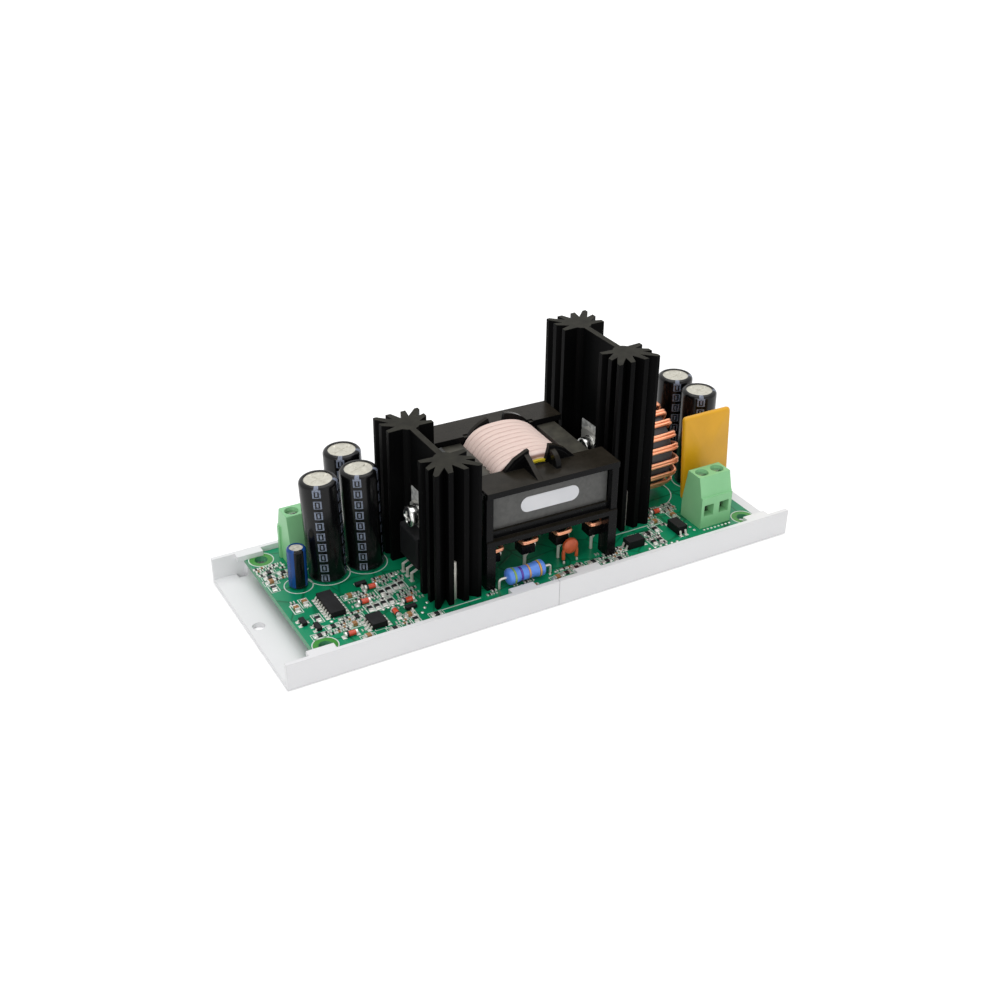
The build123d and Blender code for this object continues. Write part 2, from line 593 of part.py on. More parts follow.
def transformer():
    """Core, former, winding, pins and wire ends of the main transformer."""
    frame = on_board(*TRANSFORMER)
    half = Pos(0, 0, CORE_AXIS_HEIGHT) * core_half()
    add("core_front_half", frame * half)
    add("core_back_half", frame * Rot(0, 0, 180) * half)
    add("coil_former", frame * coil_former())
    add("litz_winding", frame * litz_winding())
    add("core_label", frame * core_label())
    boss_bottom = LINTEL_TOP - LINTEL_THICKNESS - BOSS_DROP
    for side in (-1, 1):
        for x in pin_places():
            y = side * PIN_ROW_SPACING / 2
            add("transformer_pins", straight_lead(frame, x, y, TRANSFORMER_PIN_RADIUS, boss_bottom))
            outline = chamfer(Rectangle(WRAP_SIZE, WRAP_SIZE).vertices(), WRAP_SIZE * 0.25)
            wrap = extrude(outline - Rectangle(NECK_SIZE, NECK_SIZE), WRAP_HEIGHT)
            add("winding_wire_ends", frame * Pos(x, y, boss_bottom + BOSS_FOOT) * wrap)


# Output choke

def choke():
    """The ring core on edge and its single-layer copper winding."""
    axis_height = CHOKE_LIFT + RING_RADIUS + CHOKE_WIRE
    frame = on_board(*CHOKE)
    centre = frame * Pos(0, 0, axis_height)
    half = RING_WIDTH / 2
    ring = drum_x(RING_RADIUS, -half, half, RING_SIDES) - drum_x(RING_BORE_RADIUS, -half, half, RING_SIDES)
    add("choke_core", centre * ring)
    low, high = RING_BORE_RADIUS - CHOKE_WIRE, RING_RADIUS + CHOKE_WIRE
    outer = Pos(0, (low + high) / 2) * Rectangle(RING_WIDTH + 2 * CHOKE_WIRE, high - low)
    outer = chamfer(outer.vertices().group_by(Axis.Y)[-1], CHOKE_WIRE * 0.7)
    middle = (RING_BORE_RADIUS + RING_RADIUS) / 2
    inner = Pos(0, middle) * Rectangle(RING_WIDTH, RING_RADIUS - RING_BORE_RADIUS)
    wedge_half = math.tan(math.radians(CHOKE_WEDGE)) * high
    wedge = Polygon((0, 0), (wedge_half, high), (-wedge_half, high), align=None)
    turn = prism_y(outer - inner, -CHOKE_BAND / 2, CHOKE_BAND / 2) & prism_x(wedge, -half - 2, half + 2)
    turn -= ring
    for step in CHOKE_TURN_STEPS:
        add("choke_winding", centre * Rot(step * 360 / RING_SIDES, 0, 0) * turn)
    for side in (-1, 1):
        y = side * CHOKE_LEAD_SPREAD
        add("choke_leads", straight_lead(frame, 0, y, CHOKE_WIRE / 2, CHOKE_LIFT + CHOKE_WIRE / 2))


# Capacitors

def capacitor(can_node, sleeve_node, place, radius, height, pitch):
    """An upright electrolytic: can, shrink sleeve, rubber bung and two leads."""
    x, y, lean = place
    sides = BARREL_SIDES if radius > SMALL_CAN_RADIUS else DRUM_SIDES
    base = on_board(x, y)
    tilted = base * Pos(0, 0, CAN_LIFT) * Rot(0, lean, 0)
    can_radius = radius - SLEEVE_THICKNESS
    top = height - SLEEVE_THICKNESS
    can = drum(can_radius, BUNG_HEIGHT, top, sides)
    for turn in (0, 90):
        groove = Box(1.5 * can_radius, VENT_WIDTH, 2 * VENT_DEPTH)
        can -= Pos(0, 0, top) * Rot(0, 0, turn) * groove
    sleeve = drum(radius, 0, height, sides) - drum(can_radius, 0, top, sides)
    sleeve -= drum(can_radius - SLEEVE_LIP, top, height, sides)
    bung = tilted * drum(can_radius, 0, BUNG_HEIGHT, sides // 2)
    for side in (-1, 1):
        lead = straight_lead(base, 0, side * pitch / 2, CAP_LEAD_RADIUS, CAN_LIFT - LEAD_GAP)
        add("capacitor_leads", lead)
    add(can_node, tilted * can)
    add(sleeve_node, tilted * sleeve)
    add("capacitor_bungs", bung)


# Screw terminals

def terminal_profile():
    """Side outline of a terminal block in Y and Z, wire entries at -Y."""
    front, back = -TERMINAL_DEPTH / 2, TERMINAL_DEPTH / 2
    return Polygon((front, 0), (back, 0), (back, BACK_HEIGHT), (back - TOP_BACK_SETBACK, TERMINAL_HEIGHT),
                   (front + TOP_FRONT_SETBACK, TERMINAL_HEIGHT), (front + RIB_SIZE, PANEL_HEIGHT),
                   (front, PANEL_HEIGHT), align=None)


def terminal(name, place):
    """A two-way screw terminal: moulded housing, clamp cages, screws and solder pins."""
    frame = on_board(*place)
    housing = prism_x(terminal_profile(), -TERMINAL_PITCH, TERMINAL_PITCH)
    front = -TERMINAL_DEPTH / 2
    screw_y = (front + TOP_FRONT_SETBACK + TERMINAL_DEPTH / 2 - TOP_BACK_SETBACK) / 2
    cavity_top = CAGE_LIFT + CAGE_HEIGHT + CAGE_CLEARANCE
    cage_w, cage_d = CAGE_WIDTH / 2, CAGE_DEPTH / 2
    head_seat = TERMINAL_HEIGHT - CLAMP_WELL_DEPTH
    screw_end = CAGE_LIFT + CAGE_HEIGHT * CLAMP_SCREW_OPEN
    thread_hole = wire(CLAMP_SCREW_RADIUS + CAGE_CLEARANCE, 0, TERMINAL_HEIGHT)
    for side in (-1, 1):
        at = Pos(side * TERMINAL_PITCH / 2, 0, 0)
        room = block((-cage_w - CAGE_CLEARANCE, screw_y - cage_d - CAGE_CLEARANCE, 0),
                     (cage_w + CAGE_CLEARANCE, screw_y + cage_d + CAGE_CLEARANCE, cavity_top))
        entry = block((-ENTRY_WIDTH / 2, front, ENTRY_AXIS_HEIGHT - ENTRY_HEIGHT / 2),
                      (ENTRY_WIDTH / 2, screw_y, ENTRY_AXIS_HEIGHT + ENTRY_HEIGHT / 2))
        well = Pos(0, screw_y, 0) * drum(CLAMP_HEAD_RADIUS + CAGE_CLEARANCE, head_seat, TERMINAL_HEIGHT)
        bore = Pos(0, screw_y, screw_end) * thread_hole
        housing -= at * (room + entry + well + bore)
        cage = block((-cage_w, screw_y - cage_d, CAGE_LIFT),
                     (cage_w, screw_y + cage_d, CAGE_LIFT + CAGE_HEIGHT))
        cage -= block((-cage_w + CAGE_WALL, screw_y - cage_d, CAGE_LIFT + CAGE_WALL),
                      (cage_w - CAGE_WALL, screw_y + cage_d, CAGE_LIFT + CAGE_HEIGHT - 2 * CAGE_WALL))
        cage -= Pos(0, screw_y, screw_end) * thread_hole
        add("terminal_cages", frame * at * cage)
        screw = drum(CLAMP_HEAD_RADIUS, head_seat, head_seat + CLAMP_HEAD_HEIGHT)
        screw -= Pos(0, 0, head_seat + CLAMP_HEAD_HEIGHT) * Box(2 * CLAMP_HEAD_RADIUS, 0.5, 1.2)
        screw += wire(CLAMP_SCREW_RADIUS, screw_end, head_seat)
        add("terminal_screws", frame * at * Pos(0, screw_y, 0) * screw)
        half_pin = TERMINAL_PIN / 2
        pin = block((-half_pin, screw_y - half_pin, -BOARD_THICKNESS),
                    (half_pin, screw_y + half_pin, CAGE_LIFT))
        add("terminal_pins", frame * at * pin)
        drill(frame, side * TERMINAL_PITCH / 2, screw_y, half_pin * math.sqrt(2))
    rib = prism_x(Pos(front + 1.6, PANEL_HEIGHT / 2) * Rectangle(1.2, PANEL_HEIGHT), 0, RIB_SIZE)
    housing += Pos(TERMINAL_PITCH, 0, 0) * rib
    add(name, frame * housing)


# Other leaded parts

def resettable_fuse():
    """The flat coated plate on two leads."""
    to_choke = RING_RADIUS + CHOKE_WIRE + FUSE_GAP + FUSE_THICKNESS / 2
    frame = on_board(FUSE_X, CHOKE[1]) * Pos(0, -to_choke, 0)
    outline = Pos(0, FUSE_LIFT + FUSE_HEIGHT / 2) * RectangleRounded(FUSE_WIDTH, FUSE_HEIGHT, FUSE_CORNER)
    plate = prism_y(outline, -FUSE_THICKNESS / 2, FUSE_THICKNESS / 2)
    pivot = Pos(0, 0, FUSE_LIFT)
    plate = pivot * Rot(0, FUSE_LEAN, 0) * pivot.inverse() * plate
    for side in (-1, 1):
        lead = straight_lead(frame, side * FUSE_PITCH / 2, 0, FUSE_LEAD_RADIUS, 2 * FUSE_LIFT)
        add("resettable_fuse_leads", lead - frame * plate)
    add("resettable_fuse", frame * plate)


def power_resistor():
    """The axial resistor: a barrel with thicker ends, and two leads bent down to the board."""
    frame = on_board(*RESISTOR)
    half, end = RESISTOR_LENGTH / 2, RESISTOR_END
    body = drum_x(RESISTOR_RADIUS, end - half, half - end)
    for side in (-1, 1):
        x0, x1 = sorted((side * (half - end), side * half))
        cap = drum_x(RESISTOR_END_RADIUS, x0, x1)
        body += chamfer(cap.edges().group_by(Axis.X)[-1 if side > 0 else 0], RESISTOR_EDGE)
    add("power_resistor", frame * Pos(0, 0, RESISTOR_LIFT) * body)
    reach = RESISTOR_PITCH / 2
    for side in (-1, 1):
        r = RESISTOR_LEAD_RADIUS
        outline = Polygon((half, RESISTOR_LIFT - r), (reach - 2 * r, RESISTOR_LIFT - r),
                          (reach - r, RESISTOR_LIFT - 2 * r), (reach - r, -BOARD_THICKNESS),
                          (reach + r, -BOARD_THICKNESS), (reach + r, RESISTOR_LIFT - r),
                          (reach - r, RESISTOR_LIFT + r), (half, RESISTOR_LIFT + r), align=None)
        turn = Rot(0, 0, 0 if side > 0 else 180)
        add("power_resistor_leads", frame * turn * prism_y(outline, -r, r))
        drill(frame, side * reach, 0, r * math.sqrt(2))


def disc_capacitor():
    """The dipped ceramic disc with its coated legs, and the bare wires below them."""
    frame = on_board(DISC_X, TRANSFORMER[1]) * Pos(0, -PIN_ROW_SPACING / 2 - DISC_FROM_PINS, 0)
    outline = RegularPolygon(DISC_RADIUS, BARREL_SIDES)
    body = Pos(0, 0, DISC_AXIS_HEIGHT) * prism_y(outline, -DISC_THICKNESS / 2, DISC_THICKNESS / 2)
    body = chamfer(body.edges().group_by(Axis.Y)[-1] + body.edges().group_by(Axis.Y)[0], DISC_EDGE)
    for side in (-1, 1):
        leg = wire(DISC_LEG_RADIUS, DISC_LEG_LIFT, DISC_AXIS_HEIGHT - DISC_LEG_LIFT)
        body += Pos(side * DISC_PITCH / 2, 0, 0) * leg
        lead = straight_lead(frame, side * DISC_PITCH / 2, 0, CAP_LEAD_RADIUS, DISC_LEG_LIFT)
        add("disc_capacitor_leads", lead)
    add("disc_capacitor", frame * body)


# Surface-mounted parts

def gull_wing(start, end, height, width):
    """A lead in the YZ plane: out of the body at y = start, down, and a foot ending at y = end."""
    t = SO_LEAD_THICKNESS
    heel = (start + end) / 2
    outline = Polygon((start, height - t / 2), (heel - t / 2, 0), (end, 0), (end, t), (heel + t / 2, t),
                      (start + t, height + t / 2), (start, height + t / 2), align=None)
    return prism_x(outline, -width / 2, width / 2)


def small_outline(node, frame, size, pitch, leads, lead_width, span):
    """A moulded package with a row of gull-wing leads along each side at +Y and -Y."""
    length, width, height = size
    case = block((-length / 2, -width / 2, SO_STANDOFF), (length / 2, width / 2, height))
    add(node + "_case", frame * case)
    wing = gull_wing(width / 2, span / 2, height * 0.5, lead_width)
    for position, side in leads:
        flip = Rot(0, 0, 180) if side < 0 else Rot(0, 0, 0)
        add(node + "_leads", frame * flip * Pos(position * pitch * side, 0, 0) * wing)


def two_rows(count):
    """Lead positions for the same number of leads on both sides."""
    return [(i - (count - 1) / 2, side) for side in (-1, 1) for i in range(count)]


def surface_parts():
    """Controller, driver, optocouplers, small transistors, diodes and chips."""
    for node, place, length, count in (("controller", CONTROLLER, CONTROLLER_LENGTH, CONTROLLER_COUNT),
                                       ("driver", DRIVER, DRIVER_LENGTH, DRIVER_COUNT)):
        small_outline(node, on_board(*place, 90), (length, SO_WIDTH, SO_HEIGHT), SO_PITCH, two_rows(count),
                      SO_LEAD, SO_SPAN)
    for x, y in OPTOCOUPLERS:
        small_outline("optocoupler", on_board(x, y, 90), (OPTO_LENGTH, OPTO_WIDTH, OPTO_HEIGHT), OPTO_PITCH,
                      two_rows(2), OPTO_LEAD, OPTO_SPAN)
    three = [(-0.5, 1), (0.5, 1), (0, -1)]
    for x, y, turn in TINY_TRANSISTORS:
        small_outline("small_transistor", on_board(x, y, turn), (TINY_LENGTH, TINY_WIDTH, TINY_HEIGHT),
                      TINY_PITCH, three, SO_LEAD, TINY_SPAN)
    half = DIODE_LENGTH / 2
    for x, y, turn in DIODES:
        frame = on_board(x, y, turn) * Pos(0, 0, DIODE_RADIUS)
        add("diodes", frame * prism_x(RegularPolygon(DIODE_RADIUS, 2 * WIRE_SIDES), -half, half))
    for node, places, height in (("chip_resistors", CHIP_RESISTORS, CHIP_HEIGHT),
                                 ("chip_capacitors", CHIP_CAPACITORS, CAPACITOR_CHIP_HEIGHT)):
        for x, y, turn in places:
            add(node, on_board(x, y, turn) * Pos(0, 0, height / 2) * Box(CHIP_LENGTH, CHIP_WIDTH, height))


def circuit_board():
    """The board with its corner holes and every plated hole."""
    board = block((-BOARD_LENGTH / 2, -BOARD_WIDTH / 2, BOARD_UNDERSIDE),
                  (BOARD_LENGTH / 2, BOARD_WIDTH / 2, board_top))
    holes = [(x * (BOARD_LENGTH / 2 - CORNER_HOLE_INSET), y * (BOARD_WIDTH / 2 - CORNER_HOLE_INSET),
              CORNER_HOLE_RADIUS) for x in (-1, 1) for y in (-1, 1)]
    cutters = [Pos(x, y, 0) * drum(radius, BOARD_UNDERSIDE, board_top) for x, y, radius in holes]
    for x, y, radius in board_holes:
        cutters.append(block((x - radius, y - radius, BOARD_UNDERSIDE), (x + radius, y + radius, board_top)))
    return board - cutters


left_half = tray_half()
add("tray_left_half", left_half)
add("tray_right_half", Rot(0, 0, 180) * left_half)
heatsink_group("left", LEFT_SINK, LEFT_SINK_HEIGHT, LEFT_CASE_LIFT, LEFT_CASE_SHIFT)
heatsink_group("right", RIGHT_SINK, RIGHT_SINK_HEIGHT, RIGHT_CASE_LIFT, RIGHT_CASE_SHIFT)
transformer()
choke()
to_terminal = TERMINAL_DEPTH / 2 + CAPACITOR_GAP + CAN_RADIUS
by_terminal = (TERMINAL_CAPACITOR[0], INPUT_TERMINAL[1] - to_terminal / spread, TERMINAL_CAPACITOR[1])
for place in (by_terminal,) + INPUT_CAPACITORS:
    capacitor("capacitor_cans", "capacitor_sleeves", place, CAN_RADIUS, CAN_HEIGHT, CAN_PITCH)
for place in OUTPUT_CAPACITORS:
    capacitor("capacitor_cans", "capacitor_sleeves", place, CAN_RADIUS, OUTPUT_CAN_HEIGHT, CAN_PITCH)
capacitor("small_capacitor_can", "small_capacitor_sleeve", SMALL_CAPACITOR, SMALL_CAN_RADIUS,
          SMALL_CAN_HEIGHT, SMALL_CAN_PITCH)
terminal("input_terminal_housing", INPUT_TERMINAL)
terminal("output_terminal_housing", OUTPUT_TERMINAL)
resettable_fuse()
power_resistor()
disc_capacitor()
surface_parts()
add("circuit_board", circuit_board())

os.makedirs("parts", exist_ok=True)
for node, solids in parts.items():
    shape = solids[0] if len(solids) == 1 else Compound(children=solids)
    export_step(shape, f"parts/{node}.step")
    print(node, len(solids))
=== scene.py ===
import math

import bmesh
import bpy
import numpy as np
from mathutils import Matrix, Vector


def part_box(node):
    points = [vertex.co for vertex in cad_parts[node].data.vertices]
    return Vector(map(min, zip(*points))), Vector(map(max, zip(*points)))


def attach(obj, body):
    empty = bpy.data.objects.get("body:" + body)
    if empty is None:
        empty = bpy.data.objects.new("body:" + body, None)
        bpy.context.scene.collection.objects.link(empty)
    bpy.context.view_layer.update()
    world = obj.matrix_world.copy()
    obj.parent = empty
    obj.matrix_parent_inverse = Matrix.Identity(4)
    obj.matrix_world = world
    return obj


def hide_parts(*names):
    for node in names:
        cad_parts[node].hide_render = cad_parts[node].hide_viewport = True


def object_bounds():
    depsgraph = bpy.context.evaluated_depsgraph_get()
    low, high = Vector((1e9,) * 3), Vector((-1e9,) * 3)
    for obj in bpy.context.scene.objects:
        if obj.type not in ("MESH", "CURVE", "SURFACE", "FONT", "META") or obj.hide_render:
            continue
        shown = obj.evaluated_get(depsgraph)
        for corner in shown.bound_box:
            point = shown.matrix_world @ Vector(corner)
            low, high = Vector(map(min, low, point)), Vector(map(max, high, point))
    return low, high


# Looks of an isolated dc-dc converter module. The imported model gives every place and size; this
# script adds what is too fine for the solids: wound wire, sleeves, solder, print and finishes.

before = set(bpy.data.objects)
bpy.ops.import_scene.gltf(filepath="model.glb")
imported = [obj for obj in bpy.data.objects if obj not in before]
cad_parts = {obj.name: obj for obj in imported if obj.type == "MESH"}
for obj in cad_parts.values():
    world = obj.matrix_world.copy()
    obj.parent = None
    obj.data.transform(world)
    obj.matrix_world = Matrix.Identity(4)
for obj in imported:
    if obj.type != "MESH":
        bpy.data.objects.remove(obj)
cad_box = [list(corner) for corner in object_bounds()]
MM = 0.001


# Small tools

def linear(hex_code):
    """An sRGB hex colour as linear red, green, blue and alpha."""
    srgb = [int(hex_code[i:i + 2], 16) / 255 for i in (1, 3, 5)]
    return [c / 12.92 if c <= 0.04045 else ((c + 0.055) / 1.055) ** 2.4 for c in srgb] + [1.0]


def per_mm(size):
    """A texture scale for a pattern whose features lie that many millimetres apart."""
    return 1.0 / (size * MM)


def plug_in(tree, node, inputs):
    """Sets a node's inputs: each is a hex colour, a plain value, a socket to link, or a node to link by its first
    output in use."""
    for key, value in inputs.items():
        if isinstance(value, bpy.types.Node):
            value = next(output for output in value.outputs if output.enabled)
        if isinstance(value, bpy.types.NodeSocket):
            tree.links.new(value, node.inputs[key])
        else:
            node.inputs[key].default_value = linear(value) if isinstance(value, str) else value


def add(tree, kind, inputs=(), **settings):
    """Adds one shader node: settings are its own properties, and its inputs are plugged in."""
    made = tree.nodes.new("ShaderNode" + kind)
    for name, value in settings.items():
        setattr(made, name, value)
    plug_in(tree, made, dict(inputs))
    return made


def empty_tree(owner):
    """A material's or a world's node tree, switched on and cleared."""
    owner.use_nodes = True
    owner.node_tree.nodes.clear()
    return owner.node_tree


def material(name, roughness, metallic=0.0, **sockets):
    """A named material with its shader, where an underscore in a socket's name stands for a space. Returns the
    material, its tree, its shader and its Object coordinates."""
    made = bpy.data.materials.new(name)
    tree = empty_tree(made)
    shader = add(tree, "BsdfPrincipled", {"Roughness": roughness, "Metallic": metallic})
    plug_in(tree, shader, {socket.replace("_", " "): value for socket, value in sockets.items()})
    add(tree, "OutputMaterial", {"Surface": shader})
    return made, tree, shader, add(tree, "TexCoord").outputs["Object"]


def in_scene(name, data):
    """A new object in the scene."""
    made = bpy.data.objects.new(name, data)
    bpy.context.scene.collection.objects.link(made)
    return made


# Meshes

def grid_faces(rows, columns, wrap_rows=False, wrap_columns=False):
    """Quads between neighbouring points of a rows x columns grid, closed round where asked."""
    i = np.arange(rows if wrap_rows else rows - 1)[:, None]
    j = np.arange(columns if wrap_columns else columns - 1)[None, :]
    i2, j2 = (i + 1) % rows, (j + 1) % columns
    return np.stack([i * columns + j, i * columns + j2, i2 * columns + j2, i2 * columns + j], -1).reshape(-1, 4)


def round_angles(count):
    """That many equal steps round a full turn, in radians."""
    return np.linspace(0, 2 * math.pi, count, endpoint=False)


def shut(rings, centres):
    """Rings of points, shut at both ends by a ring drawn in to its centre."""
    ends = [np.repeat(centres[i][None, None], rings.shape[1], 1) for i in (0, -1)]
    return np.concatenate([ends[0], rings, ends[1]])


def surface(points, wrap_rows=False, wrap_columns=True, finish=0, uv=None):
    """A patch of a piece: a rows x columns x 3 grid in millimetres, with the finish's place in the piece's list."""
    rows, columns = points.shape[:2]
    faces = grid_faces(rows, columns, wrap_rows, wrap_columns)
    if uv is None:
        corners = np.zeros((len(faces), 4, 2))
    else:
        corners = uv.reshape(-1, 2)[faces]
        jump = corners[..., 0].max(1) - corners[..., 0].min(1) > 0.5
        corners[jump, :, 0] = np.where(corners[jump, :, 0] < 0.25, corners[jump, :, 0] + 1, corners[jump, :, 0])
    return points.reshape(-1, 3), faces, np.full(len(faces), finish), corners


def piece(name, patches, finishes, replaces=(), sharp=40.0):
    """One object from patches: joined, welded to a micrometre, normals outwards, smooth up to the sharp angle."""
    points, faces, marks, corners = zip(*patches)
    starts = np.cumsum([0] + [len(group) for group in points])
    polygons = [polygon for group, start in zip(faces, starts) for polygon in (group + start).tolist()]
    mesh = bpy.data.meshes.new(name)
    mesh.from_pydata(np.concatenate(points) * MM, [], polygons)
    mesh.polygons.foreach_set("material_index", np.concatenate(marks).astype(np.int32))
    layer = mesh.uv_layers.new(name="UVMap")
    flat = np.concatenate([group.reshape(-1) for group in corners])
    layer.data.foreach_set("uv", flat.astype(np.float32))
    shell = bmesh.new()
    shell.from_mesh(mesh)
    bmesh.ops.remove_doubles(shell, verts=shell.verts, dist=1e-6)
    bmesh.ops.dissolve_degenerate(shell, edges=shell.edges, dist=1e-7)
    bmesh.ops.recalc_face_normals(shell, faces=shell.faces)
    shell.to_mesh(mesh)
    shell.free()
    for finish in finishes:
        mesh.materials.append(finish)
    mesh.polygons.foreach_set("use_smooth", np.ones(len(mesh.polygons), bool))
    mesh.set_sharp_from_angle(angle=math.radians(sharp))
    made = in_scene(name, mesh)
    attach(made, "root")
    if replaces:
        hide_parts(*replaces)
    return made


def turned(points, degrees):
    """Points turned about Z: (x cos a - y sin a, x sin a + y cos a, z)."""
    a = math.radians(degrees)
    x, y, z = points[..., 0], points[..., 1], points[..., 2]
    return np.stack([x * math.cos(a) - y * math.sin(a), x * math.sin(a) + y * math.cos(a), z], -1)


def lathe(profile, around=40, axis=(0, 0, 1), centre=(0, 0, 0), start=0.0):
    """Radius r and height h of each profile point carried round an axis: centre + h n + r (u cos t + v sin t)."""
    n = np.array(axis, float) / np.linalg.norm(axis)
    side = np.array([1.0, 0, 0]) if abs(n[0]) < 0.9 else np.array([0, 1.0, 0])
    v = np.cross(n, side)
    v /= np.linalg.norm(v)
    u = np.cross(v, n)
    t = math.radians(start) + round_angles(around)[None, :, None]
    r, h = np.array(profile, float)[:, 0, None, None], np.array(profile, float)[:, 1, None, None]
    return np.array(centre) + h * n + r * (u * np.cos(t) + v * np.sin(t))


def tube(path, radius, around=10):
    """A circle carried along a path: p(s) + r (a cos t + b sin t), with a and b square to the path's heading.
    Both ends are shut by drawing the last circle to its centre."""
    path = np.array(path, float)
    ahead = np.gradient(path, axis=0)
    ahead /= np.linalg.norm(ahead, axis=1)[:, None]
    a = np.zeros_like(path)
    guide = np.cross(ahead[0], [0.31, 0.87, 0.39])
    for k in range(len(path)):
        guide = guide - ahead[k] * guide.dot(ahead[k])
        guide /= np.linalg.norm(guide)
        a[k] = guide
    b = np.cross(ahead, a)
    t = round_angles(around)[None, :, None]
    return shut(path[:, None] + radius * (a[:, None] * np.cos(t) + b[:, None] * np.sin(t)), path)


def rounded_path(points, radius, steps=7):
    """A path through straight runs whose corners are quadratic arcs: (1-s)^2 p + 2 s (1-s) corner + s^2 q, with p
    and q the given radius away from the corner."""
    points = np.array(points, float)
    s = np.linspace(0, 1, steps)[:, None]
    found = [points[:1]]
    for before, corner, after in zip(points[:-2], points[1:-1], points[2:]):
        p = corner + (before - corner) / np.linalg.norm(before - corner) * radius
        q = corner + (after - corner) / np.linalg.norm(after - corner) * radius
        found.append((1 - s) ** 2 * p + 2 * s * (1 - s) * corner + s ** 2 * q)
    return np.concatenate(found + [points[-1:]])


def slab(low, high, edge=0.0):
    """A block as four-cornered rings from its foot to its top; edge slopes the rim inwards, as solder or a broken
    corner does."""
    cx, cy = (low[0] + high[0]) / 2, (low[1] + high[1]) / 2
    hx, hy = (high[0] - low[0]) / 2, (high[1] - low[1]) / 2
    rise = min(edge, (high[2] - low[2]) * 0.8)
    rings = [(0, 0, low[2]), (hx, hy, low[2]), (hx, hy, high[2] - rise), (hx - edge, hy - edge, high[2]),
             (0, 0, high[2])]
    signs = ((-1, -1), (1, -1), (1, 1), (-1, 1))
    return np.array([[(cx + sx * a, cy + sy * b, z) for sx, sy in signs] for a, b, z in rings], float)


def arc_bar(inner, outer, near, far, first, last):
    """A bar bent round the Y axis: its section, from the inner to the outer radius and from near to far in y, is
    carried from the first to the last angle in degrees at (r cos a, y, r sin a)."""
    a = np.radians(np.linspace(first, last, 16))
    corners = ((inner, near), (outer, near), (outer, far), (inner, far))
    section = np.stack([np.stack([r * np.cos(a), np.full_like(a, y), r * np.sin(a)], -1) for r, y in corners], 1)
    return shut(section, section.mean(1))


def less_blocks(node, blocks):
    """The mesh of a CAD node as a patch, less some blocks, each given by eight corners. The node stays as it is."""
    trial = in_scene("trial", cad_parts[node].data.copy())
    corners = np.concatenate(blocks).reshape(-1, 3) * MM
    sides = np.array([(0, 1, 3, 2), (4, 6, 7, 5), (0, 4, 5, 1), (2, 3, 7, 6), (0, 2, 6, 4), (1, 5, 7, 3)])
    faces = np.concatenate([sides + 8 * k for k in range(len(blocks))])
    mesh = bpy.data.meshes.new("cutter")
    mesh.from_pydata(corners, [], faces.tolist())
    cutter = in_scene("cutter", mesh)
    cut = trial.modifiers.new("cut", "BOOLEAN")
    cut.operation, cut.solver, cut.object = "DIFFERENCE", "EXACT", cutter
    found = trial.evaluated_get(bpy.context.evaluated_depsgraph_get()).to_mesh()
    points = np.array([v.co for v in found.vertices]) / MM
    found.calc_loop_triangles()
    faces = np.array([t.vertices[:] for t in found.loop_triangles])
    for made in (trial, cutter):
        data = made.data
        bpy.data.objects.remove(made)
        bpy.data.meshes.remove(data)
    return points, faces, np.zeros(len(faces), int), np.zeros((len(faces), 3, 2))


def node_patch(node):
    """The mesh of a CAD node as a patch. The node is only read."""
    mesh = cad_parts[node].data
    points = np.array([vertex.co for vertex in mesh.vertices]) / MM
    faces = np.array([face.vertices[:] for face in mesh.polygons])
    return points, faces, np.zeros(len(faces), int), np.zeros((len(faces), 3, 2))


def printed_line(path):
    """A closed line of silkscreen ink: a flat rectangle carried round a path seen from above."""
    path = np.array(path, float)
    ahead = np.roll(path, -1, 0) - np.roll(path, 1, 0)
    ahead /= np.linalg.norm(ahead, axis=1)[:, None]
    side = np.stack([-ahead[:, 1], ahead[:, 0]], -1) * INK_WIDTH / 2
    low, high = BOARD_TOP, BOARD_TOP + INK_RISE
    section = [(path + side, low), (path + side, high), (path - side, high), (path - side, low)]
    grid = np.stack([np.concatenate([p, np.full((len(p), 1), z)], -1) for p, z in section], 1)
    return surface(grid, wrap_rows=True)


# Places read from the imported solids

def solids(node):
    """The points of each separate solid in a CAD node, in millimetres, ordered along X and then Y."""
    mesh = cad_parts[node].data
    points = np.zeros(len(mesh.vertices) * 3)
    mesh.vertices.foreach_get("co", points)
    points = points.reshape(-1, 3) / MM
    edges = np.zeros(len(mesh.edges) * 2, np.int64)
    mesh.edges.foreach_get("vertices", edges)
    _, same = np.unique(np.round(points * 1000).astype(np.int64), axis=0, return_inverse=True)
    pairs = same.reshape(-1)[edges.reshape(-1, 2)]
    label = np.arange(same.max() + 1)
    while True:
        lowest = label.copy()
        np.minimum.at(lowest, pairs[:, 0], label[pairs[:, 1]])
        np.minimum.at(lowest, pairs[:, 1], label[pairs[:, 0]])
        lowest = lowest[lowest]
        if (lowest == label).all():
            break
        label = lowest
    label = label[same.reshape(-1)]
    found = [points[label == k] for k in np.unique(label)]
    return sorted(found, key=lambda p: (round(p[:, 0].mean(), 2), round(p[:, 1].mean(), 2)))


def span(points):
    """Lowest and highest corner of some points."""
    return points.min(0), points.max(0)


def bearing_of(points):
    """The direction, in degrees from X, in which points spread most when seen from above."""
    flat = points[:, :2] - points[:, :2].mean(0)
    direction = np.linalg.svd(np.unique(np.round(flat, 3), axis=0), full_matrices=False)[2][0]
    return (math.degrees(math.atan2(direction[1], direction[0])) + 90) % 180 - 90


def box_of(points):
    """Lowest corner, highest corner and middle of some points."""
    low, high = points.min(0), points.max(0)
    return low, high, (low + high) / 2


def upright_axis(points):
    """Foot, height, unit axis and radius of a round solid that stands and may lean."""
    low = points[points[:, 2] < points[:, 2].min() + 1.0]
    high = points[points[:, 2] > points[:, 2].max() - 1.0]
    foot, top = (low.min(0) + low.max(0)) / 2, (high.min(0) + high.max(0)) / 2
    tall = np.linalg.norm(top - foot)
    return foot, tall, (top - foot) / tall, np.ptp(points[:, 1]) / 2


